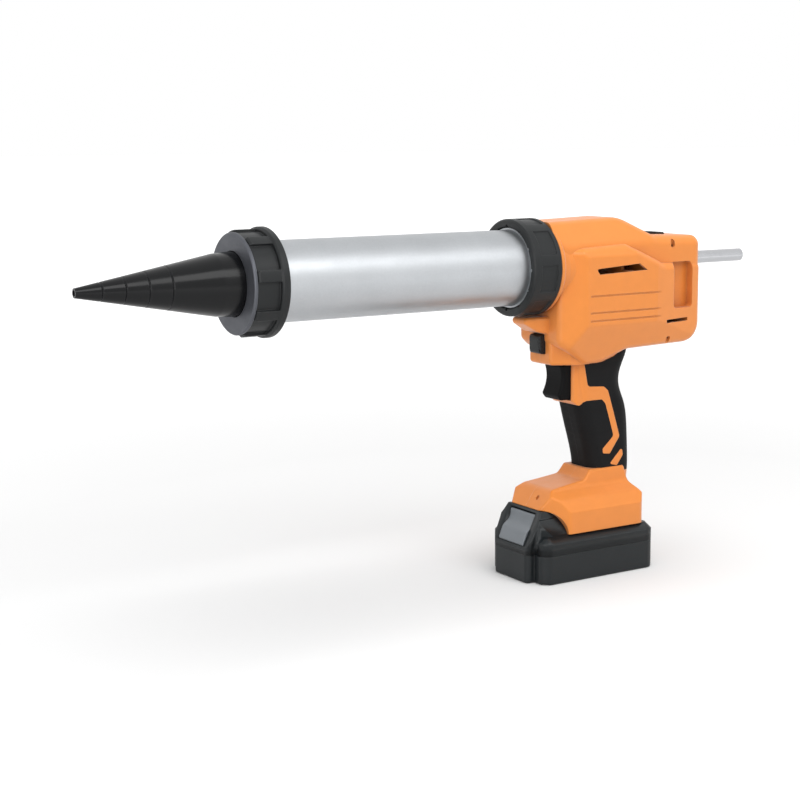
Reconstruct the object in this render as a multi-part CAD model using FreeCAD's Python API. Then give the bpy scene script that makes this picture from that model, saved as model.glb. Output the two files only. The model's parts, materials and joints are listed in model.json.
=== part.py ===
"""Cordless caulking tool: a rack-driven barrel gun with a slide-on battery.

Millimetres. +X runs to the nozzle, +Y to the tool's left and +Z up. The origin is the centre of the
battery's flat underside. Every piece is written to its own STEP file in parts/.
"""
import FreeCAD, Part
import math
import os
from FreeCAD import Vector

# Barrel, all turned about one axis
AXIS_Z = 236.6
TUBE_R = 28.0
TUBE_WALL = 1.8
TUBE_REAR_X = 43.2
TUBE_LEN = 236.0
TUBE_FRONT_X = TUBE_REAR_X + TUBE_LEN
TUBE_BORE = TUBE_R - TUBE_WALL
BEAD_WALL = 1.5
BEAD_FLANGE_R = 33.0
BEAD_FLANGE = 3.0
BEAD_LEN = 19.5

# Clearances
RUN = 0.05
SLIP = 0.3
PLAY = 0.4

# Collar that clamps the tube to the gear case
COLLAR_R = 36.0
COLLAR_X = 39.2
COLLAR_LEN = 25.0
COLLAR_FRONT_X = COLLAR_X + COLLAR_LEN
GRIP_POCKETS = 8
POCKET_DEG = 32.0
COLLAR_POCKET = 1.0
NUT_POCKET = 2.2
POCKET_LEN = 14.0
NOTCHES = 12
NOTCH_R = 1.1

# Front nut, the plate that it holds and the nozzle
NUT_R = 36.0
NUT_FLANGE_R = 37.5
NUT_FLANGE = 5.0
NUT_REAR_X = TUBE_FRONT_X - 17.0
NUT_FRONT_X = NUT_REAR_X + 22.5
PLATE_R = 34.4
PLATE_RIM = 2.4
PLATE_FLANGE_R = 31.8
PLATE_FLANGE = 2.2
PLATE_HUB_R = 30.0
NOZZLE_BASE_R = 21.9
NOZZLE_SHOULDER_R = 20.9
NOZZLE_LEN = 110.0
NOZZLE_SHOULDER = 14.0
NOZZLE_TIP_R = 3.2
NOZZLE_TIP_BORE = 2.0
NOZZLE_WALL = 1.8
NOZZLE_FLANGE_R = 25.8
NOZZLE_FLANGE = 2.6
CUT_MARKS = (17.0, 32.0, 47.0, 62.0)
CUT_MARK = 0.7

# Rack rod and piston
ROD_R = 5.0
ROD_TAIL = 67.0
PISTON_SET_BACK = 29.2
PISTON_X = TUBE_FRONT_X - PISTON_SET_BACK
PISTON_LEN = 18.0
PISTON_GAP = 0.6
SEAL_X = 7.0
SEAL_W = 4.0
SEAL_DEPTH = 3.0
SCREW_HEAD_R = 6.5
SCREW_HEAD = 3.0
RACK_MODULE = 1.25
RACK_REAR_REACH = 20.0
RACK_NECK = 40.4
RACK_FLAT = 4.4
RACK_PITCH_DROP = 3.15

# Gear train
TOOTH_BACKLASH = 0.16
PRESSURE_DEG = 20.0
PINION_TEETH = 16
PINION_WIDTH = 12.0
PINION_SHAFT_X = 13.6
FINAL_TEETH = 30
LAY_TEETH = 15
FINAL_Y = 8.5
FINAL_WIDTH = 5.0
BEVEL_MODULE = 1.1
BEVEL_TEETH = 16
CROWN_TEETH = 24
BEVEL_FACE = 5.5
PLANET_MODULE = 0.8
SUN_TEETH = 12
PLANET_TEETH = 15
RING_TEETH = SUN_TEETH + 2 * PLANET_TEETH
PLANETS = 3
PLANET_WIDTH = 8.0
PLANET_PIN_R = 2.0
RING_R = 20.5
SHAFT_R = 4.0
LAY_SHAFT_R = 3.5
BUSH_WALL = 2.5
CHEEK_Y = 13.8
CHEEK = 3.0
CASE_WALL = 4.6
CASE_DISC_R = 28.4
SPIGOT = 9.0
SPIGOT_WALL = 3.0

# Motor
MOTOR_Z = 200.0
MOTOR_R = 18.0
MOTOR_WALL = 1.5
MOTOR_FRONT_X = -41.0
MOTOR_LEN = 46.0
ROTOR_R = 10.5
MAGNET = 4.4
MOTOR_SHAFT_R = 2.0
FAN_R = 15.5
FAN_BLADES = 9
FAN_W = 6.0

# Housing
WALL = 2.6
BODY_REAR_X = -101.0
ROD_TAIL_X = BODY_REAR_X - ROD_TAIL
HOOD_TOP_Z = 272.0
HOOD_NOSE_DROP = 2.0
REAR_DROP = 14.5
REAR_TOP_Z = HOOD_TOP_Z - REAR_DROP
SHOULDER_DROP = 20.0
SHOULDER_Z = HOOD_TOP_Z - SHOULDER_DROP
HOOD_Y = 29.0
BULGE_Y = 35.0
BULGE_LOW_Z = 172.0
CHIN_X = 33.0
CHIN_Y = 21.0
CHIN_LOW_Z = 162.6
DECK_Z = 36.0
BASE_Y = 32.0
RIB = 2.5
GRIP_SKIN = 1.6
SCREW_R = 1.5
HEAD_R = 3.0
HEAD_LEN = 2.2

# Controls
TRIGGER_Y = 11.0
TRIGGER_TOP_Z = 162.0
TRIGGER_LOW_Z = 134.5
TRIGGER_REAR_X = -3.0
SHROUD_Y = 14.4
SHROUD_X = 12.5
TRIGGER_ROUND = 2.2
TRIGGER_TRAVEL = 6.0
BUTTON_Y = 6.5
BUTTON_X = 39.5
BUTTON_Z0 = 171.0
BUTTON_Z1 = 185.5
RELEASE_X0 = -80.5
RELEASE_X1 = -56.5
RELEASE_Y = 8.0
RELEASE_RISE = 1.9
RELEASE_TOP_Z = REAR_TOP_Z + RELEASE_RISE
RELEASE_RIBS = 4
RELEASE_RIB_PITCH = 3.5
SPRING_WIRE_R = 0.45

# Battery
PACK_X = 53.3
PACK_WALL = 2.0
PACK_SPLIT_Z = 22.0
PACK_CORNER = 8.0
PACK_POST_R = 2.3
PACK_POST_IN = 4.6
PACK_BEVEL = 5.0
CELL_R = 9.1
CELL_LEN = 65.0
CELL_PITCH = 18.6
CELLS = 5
CELL_PLAY = 0.7
PACK_Y = CELL_LEN / 2 + CELL_PLAY + PACK_WALL
TOWER_R = 18.0
TOWER_X = 46.0
TOWER_NOSE_X = 60.0
TOWER_TOP_Z = 56.0
LATCH_Y = 15.5
LATCH_ROUND = 0.8

BIG = 400.0
CREASE_COS = 0.966


def box(x0, x1, y0, y1, z0, z1):
    """A block between two corners."""
    return Part.makeBox(x1 - x0, y1 - y0, z1 - z0, Vector(x0, y0, z0))


def rod_x(radius, x0, x1, z=AXIS_Z, y=0.0):
    """A cylinder along X."""
    return Part.makeCylinder(radius, x1 - x0, Vector(x0, y, z), Vector(1, 0, 0))


def rod_y(radius, y0, y1, x, z):
    """A cylinder along Y."""
    return Part.makeCylinder(radius, y1 - y0, Vector(x, y0, z), Vector(0, 1, 0))


def rod_z(radius, z0, z1, x, y):
    """A cylinder along Z."""
    return Part.makeCylinder(radius, z1 - z0, Vector(x, y, z0), Vector(0, 0, 1))


def turned(points, z=AXIS_Z):
    """A solid of revolution about the X line at height z, from (x, radius) corners."""
    corners = [Vector(x, 0, z + r) for x, r in points]
    face = Part.Face(Part.makePolygon(corners + corners[:1]))
    return face.revolve(Vector(0, 0, z), Vector(1, 0, 0), 360)


def outline(points, place):
    """A closed wire through corners (u, v) or (u, v, radius), each with a radius rounded by an arc."""
    corners = [Vector(p[0], p[1], 0) for p in points]
    radii = [p[2] if len(p) > 2 else 0.0 for p in points]
    count = len(corners)
    spans = []
    for i, corner in enumerate(corners):
        back = (corners[i - 1] - corner).normalize()
        ahead = (corners[(i + 1) % count] - corner).normalize()
        if radii[i] == 0.0:
            spans.append((corner, None, corner))
            continue
        half = back.getAngle(ahead) / 2
        run = radii[i] / math.tan(half)
        middle = (back + ahead).normalize()
        mid = corner + middle * (radii[i] / math.sin(half) - radii[i])
        spans.append((corner + back * run, mid, corner + ahead * run))
    edges = []
    for i, (enter, mid, leave) in enumerate(spans):
        if mid is not None:
            edges.append(Part.Arc(place(enter), place(mid), place(leave)).toShape())
        start = spans[(i + 1) % count][0]
        if leave.distanceToPoint(start) > 1e-6:
            edges.append(Part.LineSegment(place(leave), place(start)).toShape())
    return Part.Wire(edges)


def inset_face(wire, inset):
    """The face of a wire, drawn in by a wall where one is given."""
    if inset:
        wire = wire.makeOffset2D(-inset)
    return Part.Face(wire)


def side_form(points, y0, y1, inset=0.0):
    """A profile in the XZ plane, drawn out along Y."""
    wire = outline(points, lambda p: Vector(p.x, y0, p.y))
    return inset_face(wire, inset).extrude(Vector(0, y1 - y0, 0))


def plan_form(points, z0, z1, inset=0.0):
    """A profile in the XY plane, drawn out along Z."""
    wire = outline(points, lambda p: Vector(p.x, p.y, z0))
    return inset_face(wire, inset).extrude(Vector(0, 0, z1 - z0))


def end_form(points, x0, x1, inset=0.0):
    """A profile in the YZ plane, drawn out along X."""
    wire = outline(points, lambda p: Vector(x0, p.x, p.y))
    return inset_face(wire, inset).extrude(Vector(x1 - x0, 0, 0))


def creases(shape):
    """The edges at which a shape's surface turns by more than about 15 degrees."""
    found = []
    for edge in shape.Edges:
        middle = edge.valueAt((edge.FirstParameter + edge.LastParameter) / 2)
        normals = [face.normalAt(*face.Surface.parameter(middle))
                   for face in shape.ancestorsOfType(edge, Part.Face)]
        if len(normals) == 2 and normals[0].dot(normals[1]) < CREASE_COS:
            found.append(edge)
    return found


def softened(shape, radius, chosen):
    """A shape with its creases rounded where their bounds are chosen."""
    return shape.makeFillet(radius, [edge for edge in creases(shape) if chosen(edge.BoundBox)])


def both_sides(points):
    """Corners with y above 0, and their mirror images in the plane y = 0, as one loop."""
    return list(points) + [(p[0], -p[1]) + tuple(p[2:]) for p in reversed(points)]


def both_sides_end(points):
    """Corners (y, z) with y above 0, and their mirror images, as one loop."""
    return list(points) + [(-p[0],) + tuple(p[1:]) for p in reversed(points)]


def around_x(shape, degrees, z=AXIS_Z):
    """A copy turned about the X line at height z."""
    copy = shape.copy()
    copy.rotate(Vector(0, 0, z), Vector(1, 0, 0), degrees)
    return copy


def involute(angle):
    return math.tan(angle) - angle


def half_tooth(teeth, module, radius, backlash):
    """Half of a tooth's angle at a radius."""
    pressure = math.radians(PRESSURE_DEG)
    pitch = teeth * module / 2
    base = pitch * math.cos(pressure)
    at = math.acos(base / max(radius, base))
    half = (math.pi * module / 2 - backlash) / 2 / pitch
    return half + involute(pressure) - involute(at)


def tooth_loop(teeth, rows, phase=0.0):
    """Polar corners (radius, angle) of a whole gear from one tooth's rising (radius, half angle) rows."""
    loop = []
    for i in range(teeth):
        centre = phase + 2 * math.pi * i / teeth
        loop += [(r, centre - a) for r, a in rows]
        loop += [(r, centre + a) for r, a in reversed(rows)]
    return loop


def spur_rows(teeth, module, addendum=0.88, dedendum=1.2, backlash=TOOTH_BACKLASH):
    """Rows of one spur tooth, root to tip."""
    pitch = teeth * module / 2
    radii = [pitch + module * h for h in (-dedendum, -0.45, 0.0, 0.45, addendum)]
    return [(r, half_tooth(teeth, module, r, backlash)) for r in radii]


def gear_face(loop, place):
    """A flat face inside a polar loop."""
    corners = [place(r * math.cos(a), r * math.sin(a)) for r, a in loop]
    return Part.Face(Part.makePolygon(corners + corners[:1]))


def spur_y(teeth, module, y0, width, x, z, phase):
    """A spur gear about a Y axis. Angle 0 points along +X and grows towards +Z."""
    face = gear_face(tooth_loop(teeth, spur_rows(teeth, module), phase),
                     lambda u, v: Vector(x + u, y0, z + v))
    return face.extrude(Vector(0, width, 0))


def spur_x(teeth, module, x0, width, y, z, phase, addendum=0.88):
    """A spur gear about an X axis. Angle 0 points along +Y and grows towards +Z."""
    rows = spur_rows(teeth, module, addendum)
    face = gear_face(tooth_loop(teeth, rows, phase), lambda u, v: Vector(x0, y + u, z + v))
    return face.extrude(Vector(width, 0, 0))


def bevel(teeth, mate_teeth, module, face_width, phase, place):
    """A straight bevel gear. place(d, u, v) puts a point d from the apex along the gear's axis."""
    pitch_r = teeth * module / 2
    mate_r = mate_teeth * module / 2
    cone = math.hypot(pitch_r, mate_r)
    delta = math.atan2(pitch_r, mate_r)
    virtual = teeth / math.cos(delta)
    virtual_r = virtual * module / 2
    rows = []
    for h in (-1.2, -0.45, 0.0, 0.45, 0.85):
        theta = delta + module * h / cone
        radius = virtual_r + module * h
        arc = half_tooth(virtual, module, radius, TOOTH_BACKLASH * 1.6) * radius
        rows.append((math.tan(theta), arc / (cone * math.sin(theta))))
    loop = tooth_loop(teeth, rows, phase)
    wires = []
    for reach in (cone, cone - face_width):
        d = reach * math.cos(delta)
        corners = [place(d, d * t * math.cos(a), d * t * math.sin(a)) for t, a in loop]
        wires.append(Part.makePolygon(corners + corners[:1]))
    return Part.makeLoft(wires, True, True)


def coil(radius, wire_r, turns, length, start, axis):
    """A compression spring: one wire wound on a cylinder."""
    pitch = length / turns
    helix = Part.makeHelix(pitch, length, radius)
    circle = Part.Wire(Part.makeCircle(wire_r, Vector(radius, 0, 0), Vector(0, 1, 0)))
    spring = Part.Wire(helix).makePipeShell([circle], True, False)
    spring.Placement = FreeCAD.Placement(start, FreeCAD.Rotation(Vector(0, 0, 1), axis))
    return spring


def fused(shapes):
    """Several solids as one."""
    return shapes[0].multiFuse(shapes[1:]).removeSplitter()


# Barrel group

def barrel_tube():
    tube = rod_x(TUBE_R, TUBE_REAR_X, TUBE_FRONT_X)
    return tube.cut(rod_x(TUBE_BORE, TUBE_REAR_X - 1, TUBE_FRONT_X + 1))


def tube_bead():
    """The sleeve with a rear flange that the collar pulls against the gear case."""
    outer = TUBE_R + BEAD_WALL
    x0 = TUBE_REAR_X
    x1 = x0 + BEAD_FLANGE
    x2 = x0 + BEAD_LEN
    inner = TUBE_R + RUN
    return turned([(x0, inner), (x0, BEAD_FLANGE_R), (x1, BEAD_FLANGE_R), (x1, outer), (x2, outer),
                   (x2, inner)])


def pocket(radius, depth, x0, x1):
    """A shallow finger pocket in a round grip, centred on +Z."""
    half = math.radians(POCKET_DEG / 2)
    outer = rod_x(radius + 2, x0, x1).cut(rod_x(radius - depth, x0 - 1, x1 + 1))
    reach = radius + 6
    wedge = [(0, AXIS_Z), (reach * math.sin(half), AXIS_Z + reach * math.cos(half)),
             (-reach * math.sin(half), AXIS_Z + reach * math.cos(half))]
    return outer.common(end_form(wedge, x0, x1))


def barrel_collar():
    x0 = COLLAR_X
    x3 = COLLAR_FRONT_X
    x1 = TUBE_REAR_X + BEAD_FLANGE + SLIP
    wide = BEAD_FLANGE_R + PLAY
    narrow = TUBE_R + BEAD_WALL + PLAY
    bevel_len = 1.5
    ring = turned([(x0, wide), (x0, COLLAR_R - 1.0), (x0 + 1.0, COLLAR_R), (x3 - bevel_len, COLLAR_R),
                   (x3, COLLAR_R - bevel_len), (x3, narrow + 0.8), (x3 - 0.8, narrow), (x1, narrow),
                   (x1, wide)])
    middle = (x0 + x3) / 2 - 1.5
    cut = pocket(COLLAR_R, COLLAR_POCKET, middle - POCKET_LEN / 2, middle + POCKET_LEN / 2)
    cuts = [around_x(cut, 79.0 + 360.0 * i / GRIP_POCKETS) for i in range(GRIP_POCKETS)]
    notch = rod_x(NOTCH_R, x3 - 3.0, x3 + 1.0, AXIS_Z + narrow + 0.8)
    cuts += [around_x(notch, 360.0 * i / NOTCHES) for i in range(NOTCHES)]
    return ring.cut(Part.makeCompound(cuts))


def front_nut():
    x0 = NUT_REAR_X
    x1 = x0 + NUT_FLANGE
    x3 = NUT_FRONT_X
    seat = TUBE_FRONT_X + 2 * SLIP
    lip = seat + PLATE_FLANGE + SLIP
    bore = TUBE_R + SLIP
    hold = PLATE_FLANGE_R + PLAY
    mouth = PLATE_HUB_R + PLAY
    nut = turned([(x0, bore), (x0, NUT_FLANGE_R - 1), (x0 + 1, NUT_FLANGE_R), (x1, NUT_FLANGE_R),
                  (x1 + 1.2, NUT_R), (x3 - 1.2, NUT_R), (x3, NUT_R - 1.2), (x3, mouth), (lip, mouth),
                  (lip, hold), (seat - SLIP, hold), (seat - SLIP, bore)])
    cut = pocket(NUT_R, NUT_POCKET, x1 + 1.2, x3 + 1)
    cuts = [around_x(cut, 79.0 + 360.0 * i / GRIP_POCKETS) for i in range(GRIP_POCKETS)]
    return nut.cut(Part.makeCompound(cuts))


def end_plate():
    x0 = TUBE_FRONT_X + 2 * SLIP
    x1 = x0 + PLATE_FLANGE
    x2 = NUT_FRONT_X + SLIP
    x3 = x2 + PLATE_RIM
    bore = NOZZLE_BASE_R + SLIP
    return turned([(x0, bore), (x0, PLATE_FLANGE_R), (x1, PLATE_FLANGE_R), (x1, PLATE_HUB_R),
                   (x2, PLATE_HUB_R),
                   (x2, PLATE_R), (x3 - 0.8, PLATE_R), (x3, PLATE_R - 0.8), (x3, bore)])


PLATE_FACE_X = NUT_FRONT_X + SLIP + PLATE_RIM
NOZZLE_TIP_X = PLATE_FACE_X + NOZZLE_LEN


def nozzle():
    """A cone cut to size at one of its marks, with a flange behind the end plate."""
    x0 = TUBE_FRONT_X + SLIP - NOZZLE_FLANGE
    x1 = TUBE_FRONT_X + SLIP
    x2 = PLATE_FACE_X + NOZZLE_SHOULDER
    tip = NOZZLE_TIP_X
    slope = (NOZZLE_SHOULDER_R - NOZZLE_TIP_R) / (tip - x2)
    rim = [(x0, NOZZLE_FLANGE_R), (x1, NOZZLE_FLANGE_R), (x1, NOZZLE_BASE_R),
           (PLATE_FACE_X, NOZZLE_BASE_R),
           (x2, NOZZLE_SHOULDER_R)]
    for mark in reversed(CUT_MARKS):
        x = tip - mark
        r = NOZZLE_TIP_R + slope * mark
        rim += [(x - CUT_MARK, r + slope * CUT_MARK), (x, r - CUT_MARK),
                (x + CUT_MARK, r - slope * CUT_MARK)]
    rim += [(tip, NOZZLE_TIP_R), (tip, NOZZLE_TIP_BORE), (x2, NOZZLE_SHOULDER_R - NOZZLE_WALL),
            (x0, NOZZLE_BASE_R - NOZZLE_WALL)]
    return turned(rim)


# Rod group

def rack_comb():
    """The gaps of the rack: everything that the teeth leave out under the rod."""
    pitch = math.pi * RACK_MODULE
    root = AXIS_Z - RACK_PITCH_DROP + RACK_MODULE * 1.15
    flat = AXIS_Z - RACK_FLAT
    lean = math.tan(math.radians(PRESSURE_DEG))
    pitch_z = AXIS_Z - RACK_PITCH_DROP
    half_gap = pitch / 4 + TOOTH_BACKLASH / 2
    first = -math.floor(RACK_REAR_REACH / pitch)
    last = math.floor(RACK_FRONT_REACH / pitch)
    low = AXIS_Z - ROD_R - 1
    corners = [(PINION_SHAFT_X + (first - 0.5) * pitch, low),
               (PINION_SHAFT_X + (first - 0.5) * pitch, flat)]
    for i in range(first, last + 1):
        x = PINION_SHAFT_X + i * pitch
        wide = half_gap + (pitch_z - flat) * lean
        deep = half_gap - (root - pitch_z) * lean
        corners += [(x - wide, flat), (x - deep, root), (x + deep, root), (x + wide, flat)]
    end = PINION_SHAFT_X + (last + 0.5) * pitch
    corners += [(end, flat), (end, low)]
    return side_form(corners, -ROD_R - 1, ROD_R + 1)


def rack_rod():
    bevel_len = 1.2
    nose = PISTON_X + PISTON_LEN - 6.0
    rod = turned([(ROD_TAIL_X, 0), (ROD_TAIL_X, ROD_R - bevel_len), (ROD_TAIL_X + bevel_len, ROD_R),
                  (nose, ROD_R),
                  (nose, 0)])
    return rod.cut(rack_comb())


def piston():
    r = TUBE_BORE - PISTON_GAP
    x0 = PISTON_X
    x1 = PISTON_X + PISTON_LEN
    seal0 = x0 + SEAL_X
    seal1 = seal0 + SEAL_W
    floor = r - SEAL_DEPTH
    nose = x1 - 6.0
    body = turned([(x0, ROD_R), (x0, r - 5), (x0 + 5, r), (seal0, r), (seal0, floor), (seal1, floor),
                   (seal1, r),
                   (x1 - 1, r), (x1, r - 1), (x1, 3.0), (nose, 3.0), (nose, ROD_R)])
    return body


def piston_seal():
    x0 = PISTON_X + SEAL_X
    inner = TUBE_BORE - PISTON_GAP - SEAL_DEPTH
    outer = TUBE_BORE - RUN
    return turned([(x0, inner), (x0, outer - 0.5), (x0 + 1, outer), (x0 + SEAL_W - 1, outer),
                   (x0 + SEAL_W, outer - 0.5), (x0 + SEAL_W, inner)])


def piston_screw():
    x1 = PISTON_X + PISTON_LEN
    return turned([(x1 - 6.0, 0), (x1 - 6.0, 2.95), (x1, 2.95), (x1, SCREW_HEAD_R),
                   (x1 + SCREW_HEAD - 1, SCREW_HEAD_R),
                   (x1 + SCREW_HEAD, SCREW_HEAD_R - 1), (x1 + SCREW_HEAD, 0)])


# Gear train

RACK_FRONT_REACH = PISTON_X - PINION_SHAFT_X - RACK_NECK
PINION_Z = AXIS_Z - RACK_PITCH_DROP - PINION_TEETH * RACK_MODULE / 2
TRAIN_REACH = (FINAL_TEETH + LAY_TEETH) * RACK_MODULE / 2
LAY_Z = MOTOR_Z
LAY_X = PINION_SHAFT_X - math.sqrt(TRAIN_REACH ** 2 - (PINION_Z - LAY_Z) ** 2)
SHAFT_HALF = CHEEK_Y + CHEEK
UP = math.pi / 2
TRAIN_ANGLE = math.atan2(PINION_Z - LAY_Z, PINION_SHAFT_X - LAY_X)
BEVEL_CONE = math.hypot(BEVEL_TEETH, CROWN_TEETH) * BEVEL_MODULE / 2
BEVEL_BACK_X = LAY_X - CROWN_TEETH * BEVEL_MODULE / 2
CROWN_BACK_Y = -BEVEL_TEETH * BEVEL_MODULE / 2
PLANET_CD = (SUN_TEETH + PLANET_TEETH) * PLANET_MODULE / 2
REAR_WALL_X = BEVEL_BACK_X - 5.0
CARRIER_X = REAR_WALL_X - 5.5
PLANET_X = CARRIER_X - 0.5 - PLANET_WIDTH
SUN_W = PLANET_WIDTH + 1.2


def pinion_shaft():
    shaft = rod_y(SHAFT_R, -SHAFT_HALF, SHAFT_HALF, PINION_SHAFT_X, PINION_Z)
    half = PINION_WIDTH / 2
    spacer = rod_y(SHAFT_R + 2, half, FINAL_Y, PINION_SHAFT_X, PINION_Z)
    return fused([shaft, spacer])


def bored(gear, radius, x, z):
    return gear.cut(rod_y(radius, -BIG, BIG, x, z))


def rack_pinion():
    half = PINION_WIDTH / 2
    gear = spur_y(PINION_TEETH, RACK_MODULE, -half, PINION_WIDTH, PINION_SHAFT_X, PINION_Z, UP)
    return bored(gear, SHAFT_R, PINION_SHAFT_X, PINION_Z)


def final_gear():
    """Its tooth points along the line of centres, down to the lay pinion's gap."""
    gear = spur_y(FINAL_TEETH, RACK_MODULE, FINAL_Y, FINAL_WIDTH, PINION_SHAFT_X, PINION_Z,
                  TRAIN_ANGLE + math.pi)
    holes = [rod_y(3.0, FINAL_Y - 1, FINAL_Y + FINAL_WIDTH + 1,
                   PINION_SHAFT_X + 11 * math.cos(math.radians(a)),
                   PINION_Z + 11 * math.sin(math.radians(a))) for a in range(0, 360, 60)]
    return bored(gear, SHAFT_R, PINION_SHAFT_X, PINION_Z).cut(Part.makeCompound(holes))


def lay_shaft():
    shaft = rod_y(LAY_SHAFT_R, -SHAFT_HALF, SHAFT_HALF, LAY_X, LAY_Z)
    return shaft


def lay_pinion():
    phase = TRAIN_ANGLE + math.pi / LAY_TEETH
    gear = spur_y(LAY_TEETH, RACK_MODULE, FINAL_Y, FINAL_WIDTH, LAY_X, LAY_Z, phase)
    return bored(gear, LAY_SHAFT_R, LAY_X, LAY_Z)


def crown_gear():
    """The larger bevel gear, behind the apex along -Y, with a tooth gap towards the bevel pinion."""
    phase = math.pi + math.pi / CROWN_TEETH
    gear = bevel(CROWN_TEETH, BEVEL_TEETH, BEVEL_MODULE, BEVEL_FACE, phase,
                 lambda d, u, v: Vector(LAY_X + u, -d, LAY_Z + v))
    hub = rod_y(CROWN_TEETH * BEVEL_MODULE / 2 - 1.5, CROWN_BACK_Y - 3.5, CROWN_BACK_Y, LAY_X, LAY_Z)
    return bored(fused([gear, hub]), LAY_SHAFT_R, LAY_X, LAY_Z)


def bevel_pinion():
    """The smaller bevel gear on the carrier's axis, with a tooth towards the crown gear."""
    gear = bevel(BEVEL_TEETH, CROWN_TEETH, BEVEL_MODULE, BEVEL_FACE, math.pi,
                 lambda d, u, v: Vector(LAY_X - d, u, LAY_Z + v))
    hub = rod_x(SHAFT_R + 2.5, REAR_WALL_X + CHEEK + SLIP, BEVEL_BACK_X, MOTOR_Z)
    return fused([gear, hub]).cut(rod_x(SHAFT_R, -BIG, BIG, MOTOR_Z))


def planet_centres():
    turns = [2 * math.pi * i / PLANETS for i in range(PLANETS)]
    return [(a, PLANET_CD * math.cos(a), MOTOR_Z + PLANET_CD * math.sin(a)) for a in turns]


def planet_carrier():
    """Carrier plate, planet pins and the output shaft in one piece."""
    plate = rod_x(PLANET_CD + 4.0, CARRIER_X, CARRIER_X + 4.5, MOTOR_Z)
    nose = BEVEL_BACK_X + BEVEL_FACE * CROWN_TEETH * BEVEL_MODULE / 2 / BEVEL_CONE
    shaft = rod_x(SHAFT_R, CARRIER_X + 4.5, nose, MOTOR_Z)
    pins = [rod_x(PLANET_PIN_R, PLANET_X, CARRIER_X, z, y) for _, y, z in planet_centres()]
    return fused([plate, shaft] + pins)


def planet_gear(index):
    angle, y, z = planet_centres()[index]
    gear = spur_x(PLANET_TEETH, PLANET_MODULE, PLANET_X, PLANET_WIDTH, y, z, angle, 0.8)
    return gear.cut(rod_x(PLANET_PIN_R + RUN, PLANET_X - 1, CARRIER_X + 1, z, y))


def ring_gear():
    """Internal gear that is also the gearbox case, with a gap at each planet."""
    pitch = RING_TEETH * PLANET_MODULE / 2
    radii = [pitch + PLANET_MODULE * h for h in (1.2, 0.45, 0.0, -0.45, -0.7)]
    gap = []
    for r in radii:
        tooth = half_tooth(RING_TEETH, PLANET_MODULE, r, -TOOTH_BACKLASH)
        gap.append((r, tooth))
    loop = tooth_loop(RING_TEETH, list(reversed(gap)))
    x0 = MOTOR_FRONT_X + 3.0
    hole = gear_face(loop,
                     lambda u, v: Vector(x0 - 1, u, MOTOR_Z + v)).extrude(Vector(REAR_WALL_X - x0 + 2, 0, 0))
    return rod_x(RING_R, x0, REAR_WALL_X, MOTOR_Z).cut(hole)


def sun_gear():
    x0 = PLANET_X - 1.0
    gear = spur_x(SUN_TEETH, PLANET_MODULE, x0, SUN_W, 0, MOTOR_Z, 0.0, 0.8)
    return gear.cut(rod_x(MOTOR_SHAFT_R, -BIG, BIG, MOTOR_Z))


CASE_LOW_Z = MOTOR_Z - 15.0
CASE_REAR_Z = MOTOR_Z + 17.0
CASE_TOP_Z = AXIS_Z + 13.4
CASE_STEP_Z = AXIS_Z - 17.1
CHEEK_OUTLINE = [(REAR_WALL_X, CASE_LOW_Z), (14.0, CASE_LOW_Z, 6), (COLLAR_X - CASE_WALL, CASE_STEP_Z, 6),
                 (COLLAR_X - CASE_WALL, CASE_TOP_Z, 4), (6.0, CASE_TOP_Z, 10),
                 (REAR_WALL_X, CASE_REAR_Z, 6)]


def gear_case():
    """Cast frame: right cheek, rear wall, front disc and the spigot that centres the barrel."""
    wall0 = COLLAR_X - CASE_WALL
    disc = rod_x(CASE_DISC_R, wall0, COLLAR_X + SLIP)
    flange = rod_x(BEAD_FLANGE_R, COLLAR_X + SLIP, TUBE_REAR_X)
    spigot = rod_x(TUBE_BORE - SLIP, TUBE_REAR_X, TUBE_REAR_X + SPIGOT)
    hollow = rod_x(TUBE_BORE - SLIP - SPIGOT_WALL, TUBE_REAR_X, TUBE_REAR_X + SPIGOT + 1)
    cheek = side_form(CHEEK_OUTLINE, -CHEEK_Y - CHEEK, -CHEEK_Y)
    rear = box(REAR_WALL_X, REAR_WALL_X + CHEEK, -CHEEK_Y, CHEEK_Y, CASE_LOW_Z, CASE_REAR_Z)
    case = fused([disc, flange, spigot.cut(hollow), cheek, rear])
    bush = ROD_R + BUSH_WALL
    holes = [rod_x(bush, wall0 - 1, TUBE_REAR_X + 20)]
    holes.append(rod_x(SHAFT_R + BUSH_WALL, REAR_WALL_X - 1, REAR_WALL_X + CHEEK + 1, MOTOR_Z))
    holes.append(rod_y(SHAFT_R + BUSH_WALL, -BIG, 0, PINION_SHAFT_X, PINION_Z))
    holes.append(rod_y(LAY_SHAFT_R + BUSH_WALL, -BIG, 0, LAY_X, LAY_Z))
    return case.cut(Part.makeCompound(holes))


def gear_cover():
    """The left cheek, bolted on so that the gears can be put in."""
    cheek = side_form(CHEEK_OUTLINE, CHEEK_Y, CHEEK_Y + CHEEK)
    holes = [rod_y(SHAFT_R + BUSH_WALL, 0, BIG, PINION_SHAFT_X, PINION_Z),
             rod_y(LAY_SHAFT_R + BUSH_WALL, 0, BIG, LAY_X, LAY_Z)]
    return cheek.cut(Part.makeCompound(holes))


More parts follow.
